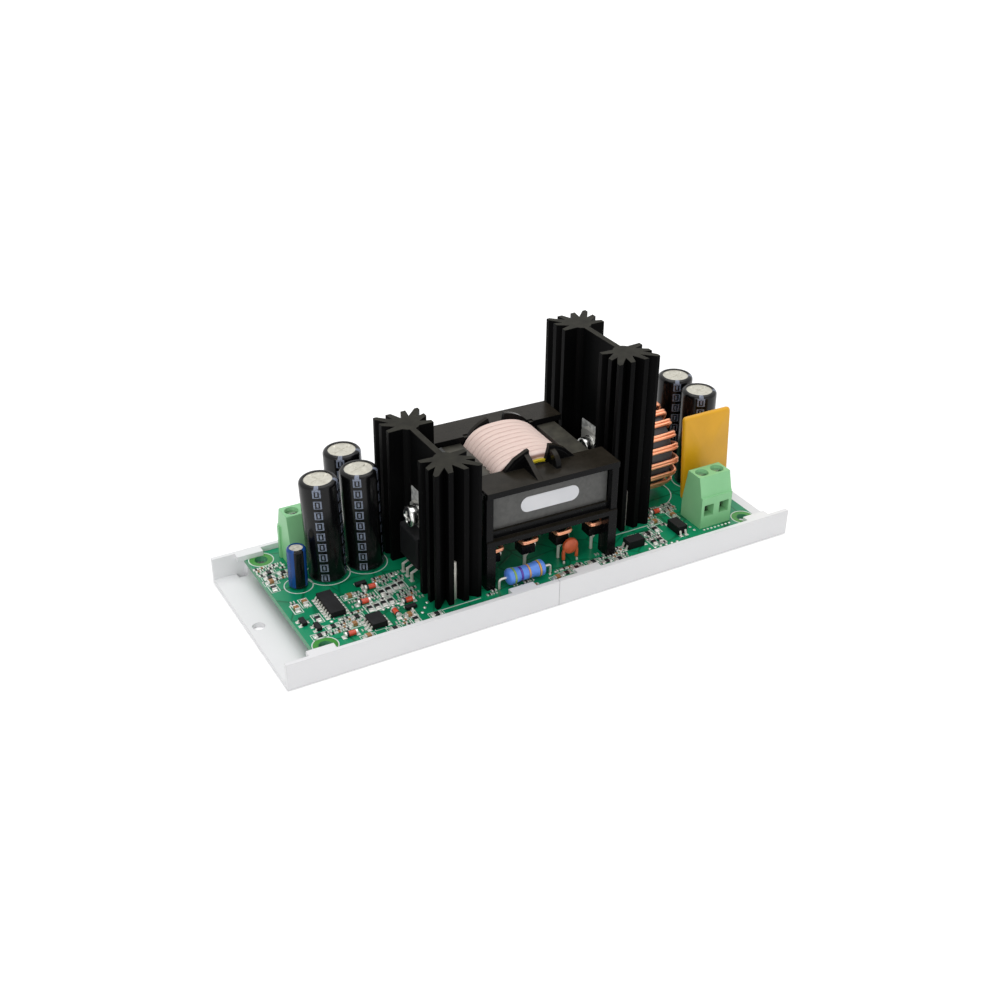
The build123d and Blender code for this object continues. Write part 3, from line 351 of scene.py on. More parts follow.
board_low, board_high = [np.array(c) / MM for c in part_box("circuit_board")]
BOARD_TOP = board_high[2]
HOLE_INSET = 3.5             # corner hole centres from the board's edges
INK_WIDTH, INK_RISE = 0.28, 0.03
SPOOL_HALF = 10.45           # from the spool's middle to the inner face of each flange
RING_WALL = 5.25             # the choke's core, from its bore to its outer face
TURN = bearing_of(solids("core_label")[0])      # the transformer stands a little askew on the board
winding_low, winding_high, SPOOL_CENTRE = box_of(solids("litz_winding")[0])
SPOOL_RADIUS = (winding_high[2] - winding_low[2]) / 2


# Materials. A grain, scratch or weave that is finer than the render shows is drawn at 0.2 to 0.7 mm, as coarse as
# it needs to be seen.

def pressed_grain(tree, height, strength, depth, round_off):
    """A normal for a surface whose edges are rounded and whose pattern is pressed in, both in millimetres."""
    rounded = add(tree, "Bevel", {"Radius": round_off * MM}, samples=4)
    return add(tree, "Bump", {"Height": height, "Strength": strength, "Distance": depth * MM, "Normal": rounded})


def white_abs():
    """Moulded ABS: an even satin white with the faint grain of a spark-eroded tool, and a fine grey line where
    the tray's two mouldings meet."""
    made, tree, shader, place = material("white moulded ABS", 0.42, IOR=1.53)
    drift = add(tree, "TexNoise", {"Vector": place, "Scale": per_mm(25), "Detail": 2.0})
    colour = add(tree, "Mix", {0: drift, 6: "#E7E7E9", 7: "#EDEDEE"}, data_type="RGBA")
    along = add(tree, "SeparateXYZ", {0: place})
    meeting = add(tree, "Math", {0: along.outputs["X"], 1: 0.0, 2: 0.06 * MM}, operation="COMPARE")
    seamed = add(tree, "Mix", {0: meeting, 6: colour, 7: "#9A9498"}, data_type="RGBA")
    grain = add(tree, "TexNoise", {"Vector": place, "Scale": per_mm(0.5), "Detail": 3.0})
    plug_in(tree, shader, {"Base Color": seamed, "Normal": pressed_grain(tree, grain, 0.08, 0.1, 0.25)})
    return made


def solder_mask():
    """Glossy green solder mask on woven glass: copper areas show a deeper green than the gaps between them, bare
    laminate round the corner holes is yellower, and the routed edges are pale."""
    made, tree, shader, place = material("green solder mask on glass laminate", 0.3, IOR=1.5,
                                         Specular_IOR_Level=0.4)
    warp = add(tree, "TexNoise", {"Vector": place, "Scale": per_mm(30), "Detail": 1.0})
    areas = add(tree, "TexVoronoi", {"Vector": place, "Scale": per_mm(9.0), "Randomness": 0.8},
                feature="DISTANCE_TO_EDGE", distance="EUCLIDEAN")
    gap = add(tree, "MapRange", {"Value": areas, "From Min": 0.015, "From Max": 0.035})
    cloud = add(tree, "MapRange", {"Value": warp, "From Min": 0.4, "From Max": 0.6})
    mask = add(tree, "Mix", {0: cloud, 6: "#038056", 7: "#078E62"}, data_type="RGBA")
    copper = add(tree, "Mix", {0: gap, 6: "#026A45", 7: mask}, data_type="RGBA")
    spot = add(tree, "VectorMath", {0: place}, operation="ABSOLUTE")
    corner = (board_high[0] - HOLE_INSET) * MM, (board_high[1] - HOLE_INSET) * MM, (BOARD_TOP - 0.8) * MM
    reach = add(tree, "VectorMath", {0: spot, 1: corner}, operation="DISTANCE")
    bare = add(tree, "Math", {0: reach, 1: 3.2 * MM}, operation="LESS_THAN")
    cover = add(tree, "Mix", {0: bare, 6: copper, 7: "#3F8F38"}, data_type="RGBA")
    facing = add(tree, "SeparateXYZ", {0: add(tree, "NewGeometry").outputs["Normal"]})
    level = add(tree, "Math", {0: facing.outputs["Z"]}, operation="ABSOLUTE")
    flat = add(tree, "MapRange", {"Value": level, "From Min": 0.4, "From Max": 0.6})
    colour = add(tree, "Mix", {0: flat, 6: "#4E9A70", 7: cover}, data_type="RGBA")
    weave = add(tree, "TexNoise", {"Vector": place, "Scale": per_mm(0.6), "Detail": 2.0})
    step = add(tree, "Bump", {"Height": gap, "Strength": 0.4, "Distance": 0.04 * MM})
    bump = add(tree, "Bump", {"Height": weave, "Strength": 0.1, "Distance": 0.05 * MM, "Normal": step})
    plug_in(tree, shader, {"Base Color": colour, "Normal": bump})
    return made


def dark_solid(name, side_dark, side_light, painted_top_dark, painted_top_pale, roughness, stretch=1.0, grain=0.5, strength=0.2,
               gloss=0.12):
    """A black finish whose top faces take their own colours, set apart from the sides' colours as painted light and
    shade from above. Stretch below
    1 draws the grain out into upright lines, as an extrusion die leaves them."""
    made, tree, shader, place = material(name, roughness, Specular_IOR_Level=gloss)
    stretched = add(tree, "Mapping", {"Vector": place, "Scale": (1.0, 1.0, stretch)})
    lines = add(tree, "TexNoise", {"Vector": stretched, "Scale": per_mm(grain), "Detail": 3.0})
    cloud = add(tree, "TexNoise", {"Vector": place, "Scale": per_mm(3.0), "Detail": 4.0})
    facing = add(tree, "SeparateXYZ", {0: add(tree, "NewGeometry").outputs["Normal"]})
    # Painted light and shade: faces turned up take the top colours, and the rest take the side colours.
    painted_top_shading = add(tree, "MapRange", {"Value": facing.outputs["Z"], "From Min": 0.5, "From Max": 0.95})
    blotch = add(tree, "MapRange", {"Value": cloud, "From Min": 0.3, "From Max": 0.7})
    top = add(tree, "Mix", {0: blotch, 6: painted_top_dark, 7: painted_top_pale}, data_type="RGBA")
    side = add(tree, "Mix", {0: lines, 6: side_dark, 7: side_light}, data_type="RGBA")
    colour = add(tree, "Mix", {0: painted_top_shading, 6: side, 7: top}, data_type="RGBA")
    plug_in(tree, shader, {"Base Color": colour, "Normal": pressed_grain(tree, lines, strength, 0.05, 0.2)})
    return made


def plain_solid(name, light, dark, roughness, drift=6.0, grain=0.4, strength=0.1, round_off=0.15, **sockets):
    """A moulded, pressed or dipped finish: two close shades that drift over some millimetres, a fine grain in
    the surface, and edges rounded by a fraction of a millimetre."""
    made, tree, shader, place = material(name, roughness, **sockets)
    cloud = add(tree, "TexNoise", {"Vector": place, "Scale": per_mm(drift), "Detail": 3.0})
    spread = add(tree, "MapRange", {"Value": cloud, "From Min": 0.3, "From Max": 0.7})
    colour = add(tree, "Mix", {0: spread, 6: dark, 7: light}, data_type="RGBA")
    fine = add(tree, "TexNoise", {"Vector": place, "Scale": per_mm(grain), "Detail": 3.0})
    plug_in(tree, shader, {"Base Color": colour, "Normal": pressed_grain(tree, fine, strength, 0.1, round_off)})
    return made


def litz_silk():
    """Litz wire under silk serving: matt pale pink, each turn faintly ribbed by its strands, with painted shade where
    it meets the next. The piece's UV holds the place round the wire in u."""
    made, tree, shader, place = material("silk-served litz wire", 0.8, Specular_IOR_Level=0.2, Sheen_Weight=0.25)
    strand = add(tree, "UVMap")
    wave = add(tree, "TexWave", {"Vector": strand, "Scale": 0.95, "Distortion": 0.6}, bands_direction="X")
    threads = wave.outputs["Fac"]
    speck = add(tree, "TexNoise", {"Vector": place, "Scale": per_mm(2.0), "Detail": 3.0})
    blend = add(tree, "Mix", {0: threads, 6: "#E6CCC2", 7: "#F3E0D8"}, data_type="RGBA")
    shade = add(tree, "MapRange", {"Value": speck, "From Min": 0.3, "From Max": 0.7, "To Max": 0.5})
    colour = add(tree, "Mix", {0: shade, 6: blend, 7: "#EDD6CD"}, data_type="RGBA")
    across = add(tree, "SeparateXYZ", {0: strand})
    angle = add(tree, "Math", {0: across.outputs["X"], 1: 2 * math.pi}, operation="MULTIPLY")
    outward = add(tree, "Math", {0: angle}, operation="COSINE")
    # Painted shade: the sides of each turn, down in the groove to the next turn, are darkened to a brownish pink.
    painted_groove_shade = add(tree, "MapRange", {"Value": outward, "From Min": 0.25, "From Max": 0.72, "To Min": 0.85,
                                  "To Max": 0.0})
    painted_grooves_colour = add(tree, "Mix", {0: painted_groove_shade, 6: colour, 7: "#A97E76"}, data_type="RGBA")
    bump = add(tree, "Bump", {"Height": threads, "Strength": 0.12, "Distance": 0.1 * MM})
    plug_in(tree, shader, {"Base Color": painted_grooves_colour, "Normal": bump})
    return made


def printed_sleeve(name, base, half_colour, half, mark, columns, repeats, width):
    """Shrunk PVC sleeve: glossy film, one part of the turn in a second colour, and columns of plain minus marks in
    boxes down its length. UV runs round the can in u and up it in v."""
    made, tree, shader, place = material(name, 0.2, IOR=1.54, Specular_IOR_Level=0.22)
    uv = add(tree, "SeparateXYZ", {0: add(tree, "UVMap")})
    round_can, up_can = uv.outputs["X"], uv.outputs["Y"]
    second = add(tree, "Math", {0: round_can, 1: half[0], 2: half[1]}, operation="COMPARE")
    colour = add(tree, "Mix", {0: second, 6: base, 7: half_colour}, data_type="RGBA")
    count = add(tree, "Math", {0: up_can, 1: float(repeats)}, operation="MULTIPLY")
    share = add(tree, "Math", {0: count}, operation="FRACT")
    smear = add(tree, "TexNoise", {"Vector": place, "Scale": per_mm(0.5), "Detail": 2.0})
    worn = add(tree, "MapRange", {"Value": smear, "From Min": 0.3, "From Max": 0.5, "To Min": 0.5, "To Max": 1.0})
    rim = add(tree, "Math", {0: up_can, 1: 0.985, 2: 0.025}, operation="COMPARE")
    for column, strength in columns:
        strips, boxes = [], []
        for part, tall in ((1.0, 0.36), (0.6, 0.29), (0.25, 0.19)):      # outline, hollow and minus mark
            strips.append(add(tree, "Math", {0: round_can, 1: column, 2: width * part}, operation="COMPARE"))
            level = add(tree, "Math", {0: share, 1: 0.42, 2: tall}, operation="COMPARE")
            boxes.append(add(tree, "Math", {0: strips[-1], 1: level}, operation="MULTIPLY"))
        outline = add(tree, "Math", {0: boxes[0], 1: boxes[1]}, operation="SUBTRACT")
        boxed = add(tree, "Math", {0: outline, 1: boxes[2]}, operation="MAXIMUM")
        patch = add(tree, "Math", {0: rim, 1: strips[1]}, operation="MULTIPLY")
        marked = add(tree, "Math", {0: boxed, 1: patch}, operation="MAXIMUM")
        faded = add(tree, "Math", {0: worn, 1: strength}, operation="MULTIPLY")
        inked = add(tree, "Math", {0: marked, 1: faded}, operation="MULTIPLY")
        colour = add(tree, "Mix", {0: inked, 6: colour, 7: mark}, data_type="RGBA")
    shrink = add(tree, "TexNoise", {"Vector": place, "Scale": per_mm(2.5), "Detail": 2.0})
    bump = add(tree, "Bump", {"Height": shrink, "Strength": 0.12, "Distance": 0.15 * MM})
    plug_in(tree, shader, {"Base Color": colour, "Normal": bump})
    return made


def brushed_metal(name, tint, roughness, scratch=0.25, strength=0.15, metallic=1.0):
    """Plated or bare metal: bright, with fine scratches that break its reflections. Metallic below 1 stands for
    tin with a dull skin, which stays light where it mirrors something dark."""
    made, tree, shader, place = material(name, roughness, metallic, Base_Color=tint)
    stretched = add(tree, "Mapping", {"Vector": place, "Scale": (1.0, 0.15, 0.4), "Rotation": (0.3, 0.2, 0.5)})
    lines = add(tree, "TexNoise", {"Vector": stretched, "Scale": per_mm(scratch), "Detail": 4.0})
    smudge = add(tree, "TexNoise", {"Vector": place, "Scale": per_mm(3.0), "Detail": 2.0})
    rough = add(tree, "MapRange", {"Value": smudge, "To Min": roughness * 0.7, "To Max": roughness * 1.4})
    plug_in(tree, shader, {"Roughness": rough, "Normal": pressed_grain(tree, lines, strength, 0.05, 0.1)})
    return made


WHITE_ABS = white_abs()
MASK = solder_mask()
# Anodising is a dull black with upright die lines; its top faces are painted grey as painted light from above.
ANODISED = dark_solid("black anodised extruded aluminium", "#040404", "#09090A", "#2A2925", "#36352F", 0.5,
                      stretch=0.01, gloss=0.04)
# Glass-filled polyamide moulds with a satin skin; its ledges and other top faces are painted a brownish grey as
# painted light from above.
FORMER = dark_solid("black glass-filled polyamide", "#09090A", "#101011", "#201D17", "#2B2721", 0.24,
                    gloss=0.1, strength=0.1)
# Ferrite is a ground ceramic: mottled dark grey with a soft shine; its top faces are painted a darker, warmer grey as
# painted shade.
FERRITE = dark_solid("ground manganese-zinc ferrite", "#474746", "#626260", "#2E2D28", "#4B4940", 0.42, grain=1.2,
                     strength=0.3, gloss=0.3)
# Moulding compound and butyl rubber are matt blacks, and the moulding compound's top faces are painted greyer as
# painted light; the powder core's coat is slate grey with a slight gloss.
EPOXY = dark_solid("black moulding compound", "#101011", "#18181A", "#242425", "#2D2D2F", 0.55, grain=0.2)
RUBBER = plain_solid("black butyl rubber", "#1A1A1A", "#121212", 0.7)
POWDER = plain_solid("dark epoxy-coated powder core", "#4A4D51", "#3B3D42", 0.45, drift=4.0)
# The label is a smooth satin film, and the terminals are an even moulded green with softly broken edges.
LABEL = plain_solid("white film label", "#E6E6E9", "#DADBDF", 0.45, drift=8.0, strength=0.03, round_off=0.03)
GREEN_PA = plain_solid("green polyamide", "#93D29A", "#87C88F", 0.42, drift=10.0, round_off=0.25)
# Dipped epoxy runs into a slightly wavy skin with round edges.
YELLOW_EPOXY = plain_solid("yellow dipped epoxy", "#E6A90E", "#DA9F08", 0.4, drift=9.0, grain=1.2,
                           strength=0.2, round_off=0.5)
ORANGE_EPOXY = plain_solid("orange dipped epoxy", "#CF6238", "#B84E26", 0.35, drift=1.5)
# Mica under white paste is blotched pale and mid grey.
MICA = plain_solid("mica with a smear of thermal paste", "#E0E1DE", "#8A8C8A", 0.35, drift=1.3, grain=0.7,
                   strength=0.4)
SILK = litz_silk()
# Tin and solder have a thin dull skin, nickel is bright, and copper glows orange through its clear enamel.
TIN = brushed_metal("tinned wire", "#E2DFD6", 0.3, metallic=0.4)
SOLDER = brushed_metal("tin solder", "#DCDBD6", 0.28, scratch=0.6, strength=0.3, metallic=0.6)
STEEL = brushed_metal("nickel-plated steel", "#D3D3D0", 0.2)
TAB_METAL = brushed_metal("tinned copper tab", "#C9C8C2", 0.3, scratch=0.6, strength=0.6, metallic=0.45)
COPPER = brushed_metal("enamelled copper wire", "#FBB08A", 0.33, metallic=0.8)
# A drawn can end is etched to a warm pale grey.
CAN_METAL = plain_solid("drawn aluminium can end", "#D3D0C3", "#BFBCAF", 0.42, drift=1.2, Metallic=0.35)
# Ink, overglaze, fired ceramic, glass and tape are too small for more than a hint of uneven colour.
INK = plain_solid("white silkscreen ink", "#DDE3DE", "#C9D2CB", 0.6, drift=1.0, round_off=0.01)
THICK_FILM = plain_solid("black overglaze on alumina", "#1D1D20", "#141417", 0.35, drift=0.8)
TAN_CERAMIC = plain_solid("tan barium titanate", "#B08355", "#8E6238", 0.45, drift=0.6)
RED_GLASS = plain_solid("red-orange diode glass", "#E0553A", "#C84024", 0.15, drift=0.8)
BLACK_BAND = plain_solid("black cathode band", "#161616", "#101010", 0.4)
TAPE = plain_solid("yellow polyester tape", "#E0CC2E", "#CDB820", 0.3)
CAP_SLEEVE = printed_sleeve("black PVC sleeve", "#09090A", "#0C0C0E", (0.5, 0.08), "#7F8799",
                            ((0.42, 1.0), (0.655, 0.8)), 9, 0.034)
SMALL_SLEEVE = printed_sleeve("blue PVC sleeve", "#114487", "#0A0B0C", (0.43, 0.085), "#20252D", ((0.27, 0.5),), 4,
                              0.015)


def paint(finish, *nodes):
    """Gives CAD nodes that keep their own shape a finish."""
    for node in nodes:
        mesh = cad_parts[node].data
        mesh.materials.clear()
        mesh.materials.append(finish)


paint(WHITE_ABS, "tray_left_half", "tray_right_half")
paint(MASK, "circuit_board")
paint(ANODISED, "left_heatsink", "right_heatsink")
paint(TAB_METAL, "left_transistor_tab", "right_transistor_tab")
paint(EPOXY, "left_transistor_case", "right_transistor_case", "controller_case", "driver_case",
      "small_transistor_case")
paint(TIN, "left_transistor_leads", "right_transistor_leads", "controller_leads", "driver_leads",
      "small_transistor_leads", "terminal_pins")
paint(STEEL, "transistor_nuts", "terminal_cages", "terminal_screws")
paint(FERRITE, "core_front_half", "core_back_half")
paint(LABEL, "core_label")
paint(RUBBER, "capacitor_bungs")
paint(GREEN_PA, "input_terminal_housing", "output_terminal_housing")


# Electrolytic capacitors

def sleeve_profile(radius, height, lip):
    """Radius and height of a shrunk sleeve: gathered at the foot, beaded over the bung, and rolled over the can's
    rim with a quarter circle that ends in a lip on the aluminium."""
    shoulder = min(1.1, 0.28 * radius)
    bend = np.linspace(0, math.pi / 2, 7)
    rim = [(radius - shoulder + shoulder * math.cos(a), height - shoulder + shoulder * math.sin(a)) for a in bend]
    foot = [(radius - 0.35, 0.0), (radius - 0.02, 0.35), (radius, 1.1)]
    bead = [(radius - 0.28, 1.9), (radius, 2.7)] if radius > 4 else []
    edge = [(radius - lip + 0.15, height - 0.02), (radius - lip, height - 0.1), (radius - lip, height - 0.5)]
    return foot + bead + rim + edge


def can_ends(name, node, lip):
    """Drawn cans under the sleeves, with a cross scored into each sunken end: height = H - sink, less the groove's
    depth where the smaller of |x|, |y| is under its half width."""
    around, rings = 96, 26
    sink, groove_half, groove_deep = 0.3, 0.24, 0.2
    patches = []
    for points in solids(node):
        foot, tall, axis, radius = upright_axis(points)
        share = np.linspace(0, 1, rings)
        reach = (radius - lip + 0.05) * share
        profile = np.stack([reach, np.full(rings, tall - sink)], -1)
        profile = np.concatenate([profile, [(radius - 0.6, tall - 1.2), (radius - 0.6, 1.4), (0.0, 1.4)]])
        grid = lathe(profile, around, axis, foot, start=20)
        t = round_angles(around)[None, :]
        x, y = reach[:, None] * np.cos(t), reach[:, None] * np.sin(t)
        groove = np.clip((groove_half - np.minimum(np.abs(x), np.abs(y))) / 0.08, 0, 1)
        inner = np.clip((0.85 - share[:, None]) / 0.05, 0, 1)
        grid[:rings] -= axis * (groove_deep * groove * inner)[..., None]
        patches.append(surface(grid))
    return piece(name, patches, [CAN_METAL], [node.replace("sleeve", "can")])


def capacitor_sleeves(name, node, finish, facing, lip):
    """One sleeve for each can of a node, in the can's own lean, with its print turned to the given bearing."""
    patches = []
    for points in solids(node):
        foot, tall, axis, radius = upright_axis(points)
        profile = np.array(sleeve_profile(radius, tall, lip))
        uv = np.stack(np.meshgrid(np.arange(64) / 64, profile[:, 1] / profile[:, 1].max()), -1)
        patches.append(surface(lathe(profile, 64, axis, foot, start=facing), uv=uv))
    return piece(name, patches, [finish], [node])


capacitor_sleeves("capacitor_sleeve_films", "capacitor_sleeves", CAP_SLEEVE, 90.0, 1.35)
capacitor_sleeves("small_capacitor_sleeve_film", "small_capacitor_sleeve", SMALL_SLEEVE, 110.0, 0.7)
can_ends("drawn_cans", "capacitor_sleeves", 1.35)
can_ends("small_drawn_can", "small_capacitor_sleeve", 0.7)


# Transformer winding

def on_spool(grid, uv=None):
    """A patch whose grid is given about the spool's axis, turned and moved to the transformer's place."""
    return surface(turned(grid, TURN) + SPOOL_CENTRE, uv=uv)


def litz_helix():
    """The outer layer of litz: ten turns of served wire side by side. Path: about the spool axis, flattened
    over the top to 1/r^p = (cos a / A)^p + (sin a / B)^p, with p = 2, or up to 2.8 on the fuller left side. There
    the turns also bulge over the core's leg by (1.5 f - 0.5) exp(-((a - 150)/w)^2) mm, with f from 0 at the back to
    1 at the front. The path moves one wire width along in the last fifth of each turn. The wire's section is a
    circle with eight shallow strands."""
    turns = 10
    width = 2 * SPOOL_HALF / turns
    outer, crown = SPOOL_RADIUS - 0.1, SPOOL_RADIUS - 2.2
    s = np.linspace(0, turns, 120 * turns)
    ramp = np.clip((s % 1 - 0.8) / 0.2, 0, 1)
    along = -SPOOL_HALF + width * (np.floor(s) + ramp) + width / 2
    along = np.clip(along, -SPOOL_HALF + width / 2, SPOOL_HALF - width / 2)
    angle = 2 * math.pi * s - math.pi / 2
    c, d = np.cos(angle), np.sin(angle)
    power = 2 + 0.8 * np.clip(-c * 3, 0, 1) * (d > 0)
    reach = (np.abs(c / outer) ** power + np.abs(d / np.where(d > 0, crown, outer)) ** power) ** (-1 / power)
    front, degrees = (SPOOL_HALF - along) / (2 * SPOOL_HALF), np.degrees(angle) % 360
    bulge = (1.5 * front - 0.5) * np.exp(-((degrees - 150) / np.where(degrees < 150, 20, 12)) ** 2)
    radius = reach + bulge - width / 2
    path = np.stack([radius * c, along, radius * d], -1)[:, None]
    t = round_angles(24)
    strands = 1.0 + 0.018 * np.cos(8 * (t[None, :] - 0.12 * s[:, None] * 2 * math.pi))
    r = (width / 2 * 1.01 * strands)[..., None]
    out, side = np.stack([c, 0 * c, d], -1)[:, None], np.array([0.0, 1.0, 0.0])
    grid = shut(path + r * (out * np.cos(t)[None, :, None] + side * np.sin(t)[None, :, None]), path[:, 0])
    uv = np.stack(np.broadcast_arrays((t / (2 * math.pi))[None, :] + 0 * s[:, None], s[:, None] * 3.0), -1)
    uv = np.concatenate([uv[:1], uv, uv[-1:]])
    bore, under = 7.4, crown - width * 0.7
    core = lathe([(bore, -SPOOL_HALF), (under, -SPOOL_HALF), (under, SPOOL_HALF), (bore, SPOOL_HALF),
                  (bore, -SPOOL_HALF)], 48, (0, 1, 0))
    return piece("litz_turns", [on_spool(grid, uv), on_spool(core)], [SILK], ["litz_winding"])


litz_helix()


def former_with_low_flanges():
    """The former, whose flanges stand only a little above the winding and are open between the wire guides. The
    flanges' tops are cut off at the ledges and drawn again as arcs of a smaller radius."""
    cut_near, cut_far, ledge = 10.35, 11.67, 7.0
    blocks = []
    for side in (-1, 1):
        corners = [(x, side * y, z) for x in (-10.5, 10.5) for y in (cut_near, cut_far) for z in (ledge, 14.0)]
        blocks.append(turned(np.array(corners), TURN) + SPOOL_CENTRE)
    patches = [less_blocks("coil_former", blocks)]
    radius = 11.6
    start = math.degrees(math.asin(ledge / radius)) - 2
    for side, left, right, bridge in ((-1, -3.2, 2.6, 7.6), (1, -3.4, 1.5, 9.0)):
        near, far = sorted((side * SPOOL_HALF, side * 11.65))
        right_end, left_end = (math.degrees(math.acos(x / radius)) for x in (right, left))
        for inner, outer, first, last in ((7.0, radius, start, right_end), (7.0, radius, left_end, 180 - start),
                                          (6.5, bridge, start, 180 - start)):
            patches.append(on_spool(arc_bar(inner, outer, near, far, first, last)))
    return piece("moulded_former", patches, [FORMER], ["coil_former"], sharp=30)


former_with_low_flanges()


def wire_ends():
    """Bare copper wound twice round each pin boss and led down its side to the pin. Path: a rounded square with
    sides |x/a|^6 + |y/b|^6 = 1 that rises one wire thickness a turn."""
    patches = []
    wire = 0.42
    for points in solids("winding_wire_ends"):
        low, high, (x, y, _) = box_of(points)
        side = -1 if y < 0 else 1
        s = np.linspace(0, 2.0, 56)
        c, d = np.cos(2 * math.pi * s), np.sin(2 * math.pi * s)
        scale = (np.abs(c / 2.15) ** 6 + np.abs(d / 1.72) ** 6) ** (-1 / 6)
        rise = low[2] + wire + s * (high[2] - low[2] - 2 * wire) / 2
        coil = np.stack([x + 0.75 + scale * c, y + scale * d, rise], -1)
        tail = rounded_path([(x + 0.3, y, low[2] - 4.2), (x + 0.5, y + side * 0.3, low[2] - 3.4),
                             (x + 2.7, y + side * 0.4, low[2] - 1.6), coil[0] - (0, 0, 0.2)], 0.5)
        patches.append(surface(tube(coil, wire, 10)))
        patches.append(surface(tube(tail, 0.34, 8), finish=1))
    return piece("wound_wire_ends", patches, [COPPER, TIN], ["winding_wire_ends"])


wire_ends()


def tape_in_notch():
    """The end of the yellow tape under the last turn, seen between the guide fins: a strip that follows the
    winding's round for a short way. Place: R cos a, R sin a about the spool's axis."""
    radius = SPOOL_RADIUS - 4.6
    return piece("winding_tape", [on_spool(arc_bar(radius, radius + 0.6, -11.3, -10.5, 77, 101))], [TAPE])


tape_in_notch()


# Output choke

def choke_turns():
    """Two copper wires wound side by side round the ring, each one continuous path. With p the phase of a turn:
    x = -a sgn(cos p)|cos p|^m and radius = R + b sgn(sin p)|sin p|^m give a rounded rectangle round the ring's
    section, a little looser on its far and outer sides. The angle falls by a slant on the way over the outside,
    and on to the next turn in the bore, where one wire dips below the other."""
    low, high, centre = box_of(solids("choke_core")[0])
    half, middle = (high[0] - low[0]) / 2, (high[2] - low[2] - RING_WALL) / 2
    wire, slant, samples = 0.47, math.radians(1.3), 40
    places = np.radians((158, 145, 129, 110, 91, 72, 56.5, 40, 25, 10, -15, -37, -60, -82, -105, -127, -143))
    p = np.arange(len(places) * samples) / samples * 2 * math.pi
    turn = (p // (2 * math.pi)).astype(int)
    here, following = places[turn], np.append(places[1:], places[-1] - 0.2)[turn]
    c, d = np.cos(p), np.sin(p)
    bore = here - slant + (following + 2 * slant - here) * (1 + c) / 2
    angle = np.where(d >= 0, here + slant * c, bore)
    a, b = half + wire, RING_WALL / 2 + wire
    x = np.where(c > 0, -a, a + 0.5) * np.abs(c) ** 0.22
    radius = middle + np.where(d > 0, b + 0.3, -b) * np.abs(d) ** 0.22
    spread = np.clip((d + 1.0) / 0.6, 0.15, 1.0)
    ahead = np.stack([0 * angle, -np.cos(angle), -np.sin(angle)], -1)
    out = np.stack([0 * angle, -np.sin(angle), np.cos(angle)], -1)
    leads = solids("choke_leads")
    patches = []
    for which in (-1, 1):
        dip = 0.95 * (1 - spread) / 0.85 * (which > 0)
        path = out * (radius - dip)[:, None] + ahead * (which * wire * 0.9 * spread)[:, None]
        path = centre + path + np.stack([x, 0 * x, 0 * x], -1)
        tails = []
        for lead in (leads[0], leads[-1]):
            _, top, foot = box_of(lead)
            tails.append([(foot[0] + which * 0.25, foot[1], top[2] - 0.6)])
        path = np.concatenate([tails[0], path[samples // 4:-(samples // 4)], tails[1]])
        patches.append(surface(tube(path, wire * 1.02, 10)))
    return piece("choke_turns", patches, [COPPER], ["choke_winding"])


choke_turns()


def choke_ring():
    """The ring core with its epoxy coat: a rounded rectangle |x/a|^5 + |(r-m)/b|^5 = 1 carried round the X axis."""
    low, high, centre = box_of(solids("choke_core")[0])
    half, middle = (high[0] - low[0]) / 2, (high[2] - low[2] - RING_WALL) / 2
    t = np.linspace(0, 2 * math.pi, 33)
    c, d = np.cos(t), np.sin(t)
    x = half * np.sign(c) * np.abs(c) ** 0.4
    r = middle + RING_WALL / 2 * np.sign(d) * np.abs(d) ** 0.4
    grid = lathe(np.stack([r, x], -1), 72, (1, 0, 0), centre)
    return piece("choke_ring", [surface(grid)], [POWDER], ["choke_core"])


choke_ring()


# Power resistor and disc capacitor

def banded_lacquer(centre, length):
    """Blue lacquer baked on a ceramic rod, with thin painted rings across it that have darker edges."""
    made, tree, shader, place = material("blue resistor lacquer", 0.3, IOR=1.5)
    moved = add(tree, "Mapping", {"Vector": place, "Location": [-c * MM for c in centre]})
    along = add(tree, "SeparateXYZ", {0: moved}).outputs["X"]
    wave = add(tree, "TexNoise", {"Vector": place, "Scale": per_mm(1.5), "Detail": 2.0})
    colour = add(tree, "Mix", {0: wave, 6: "#4C83E6", 7: "#6C9EF4"}, data_type="RGBA")
    for share, band, rim in ((-0.33, "#8FB04C", "#5F8A78"), (-0.15, "#5A3AA0", "#40309A"),
                             (0.05, "#D9A94A", "#7A5FA0"), (0.32, "#D9A94A", "#7A5040")):
        for shift, half, shade in ((0.0, 0.36, rim), (0.06, 0.2, band)):
            ring = add(tree, "Math", {0: along, 1: (share * length + shift) * MM, 2: half * MM},
                       operation="COMPARE")
            colour = add(tree, "Mix", {0: ring, 6: colour, 7: shade}, data_type="RGBA")
    bump = add(tree, "Bump", {"Height": wave, "Strength": 0.15, "Distance": 0.1 * MM})
    plug_in(tree, shader, {"Base Color": colour, "Normal": bump})
    return made


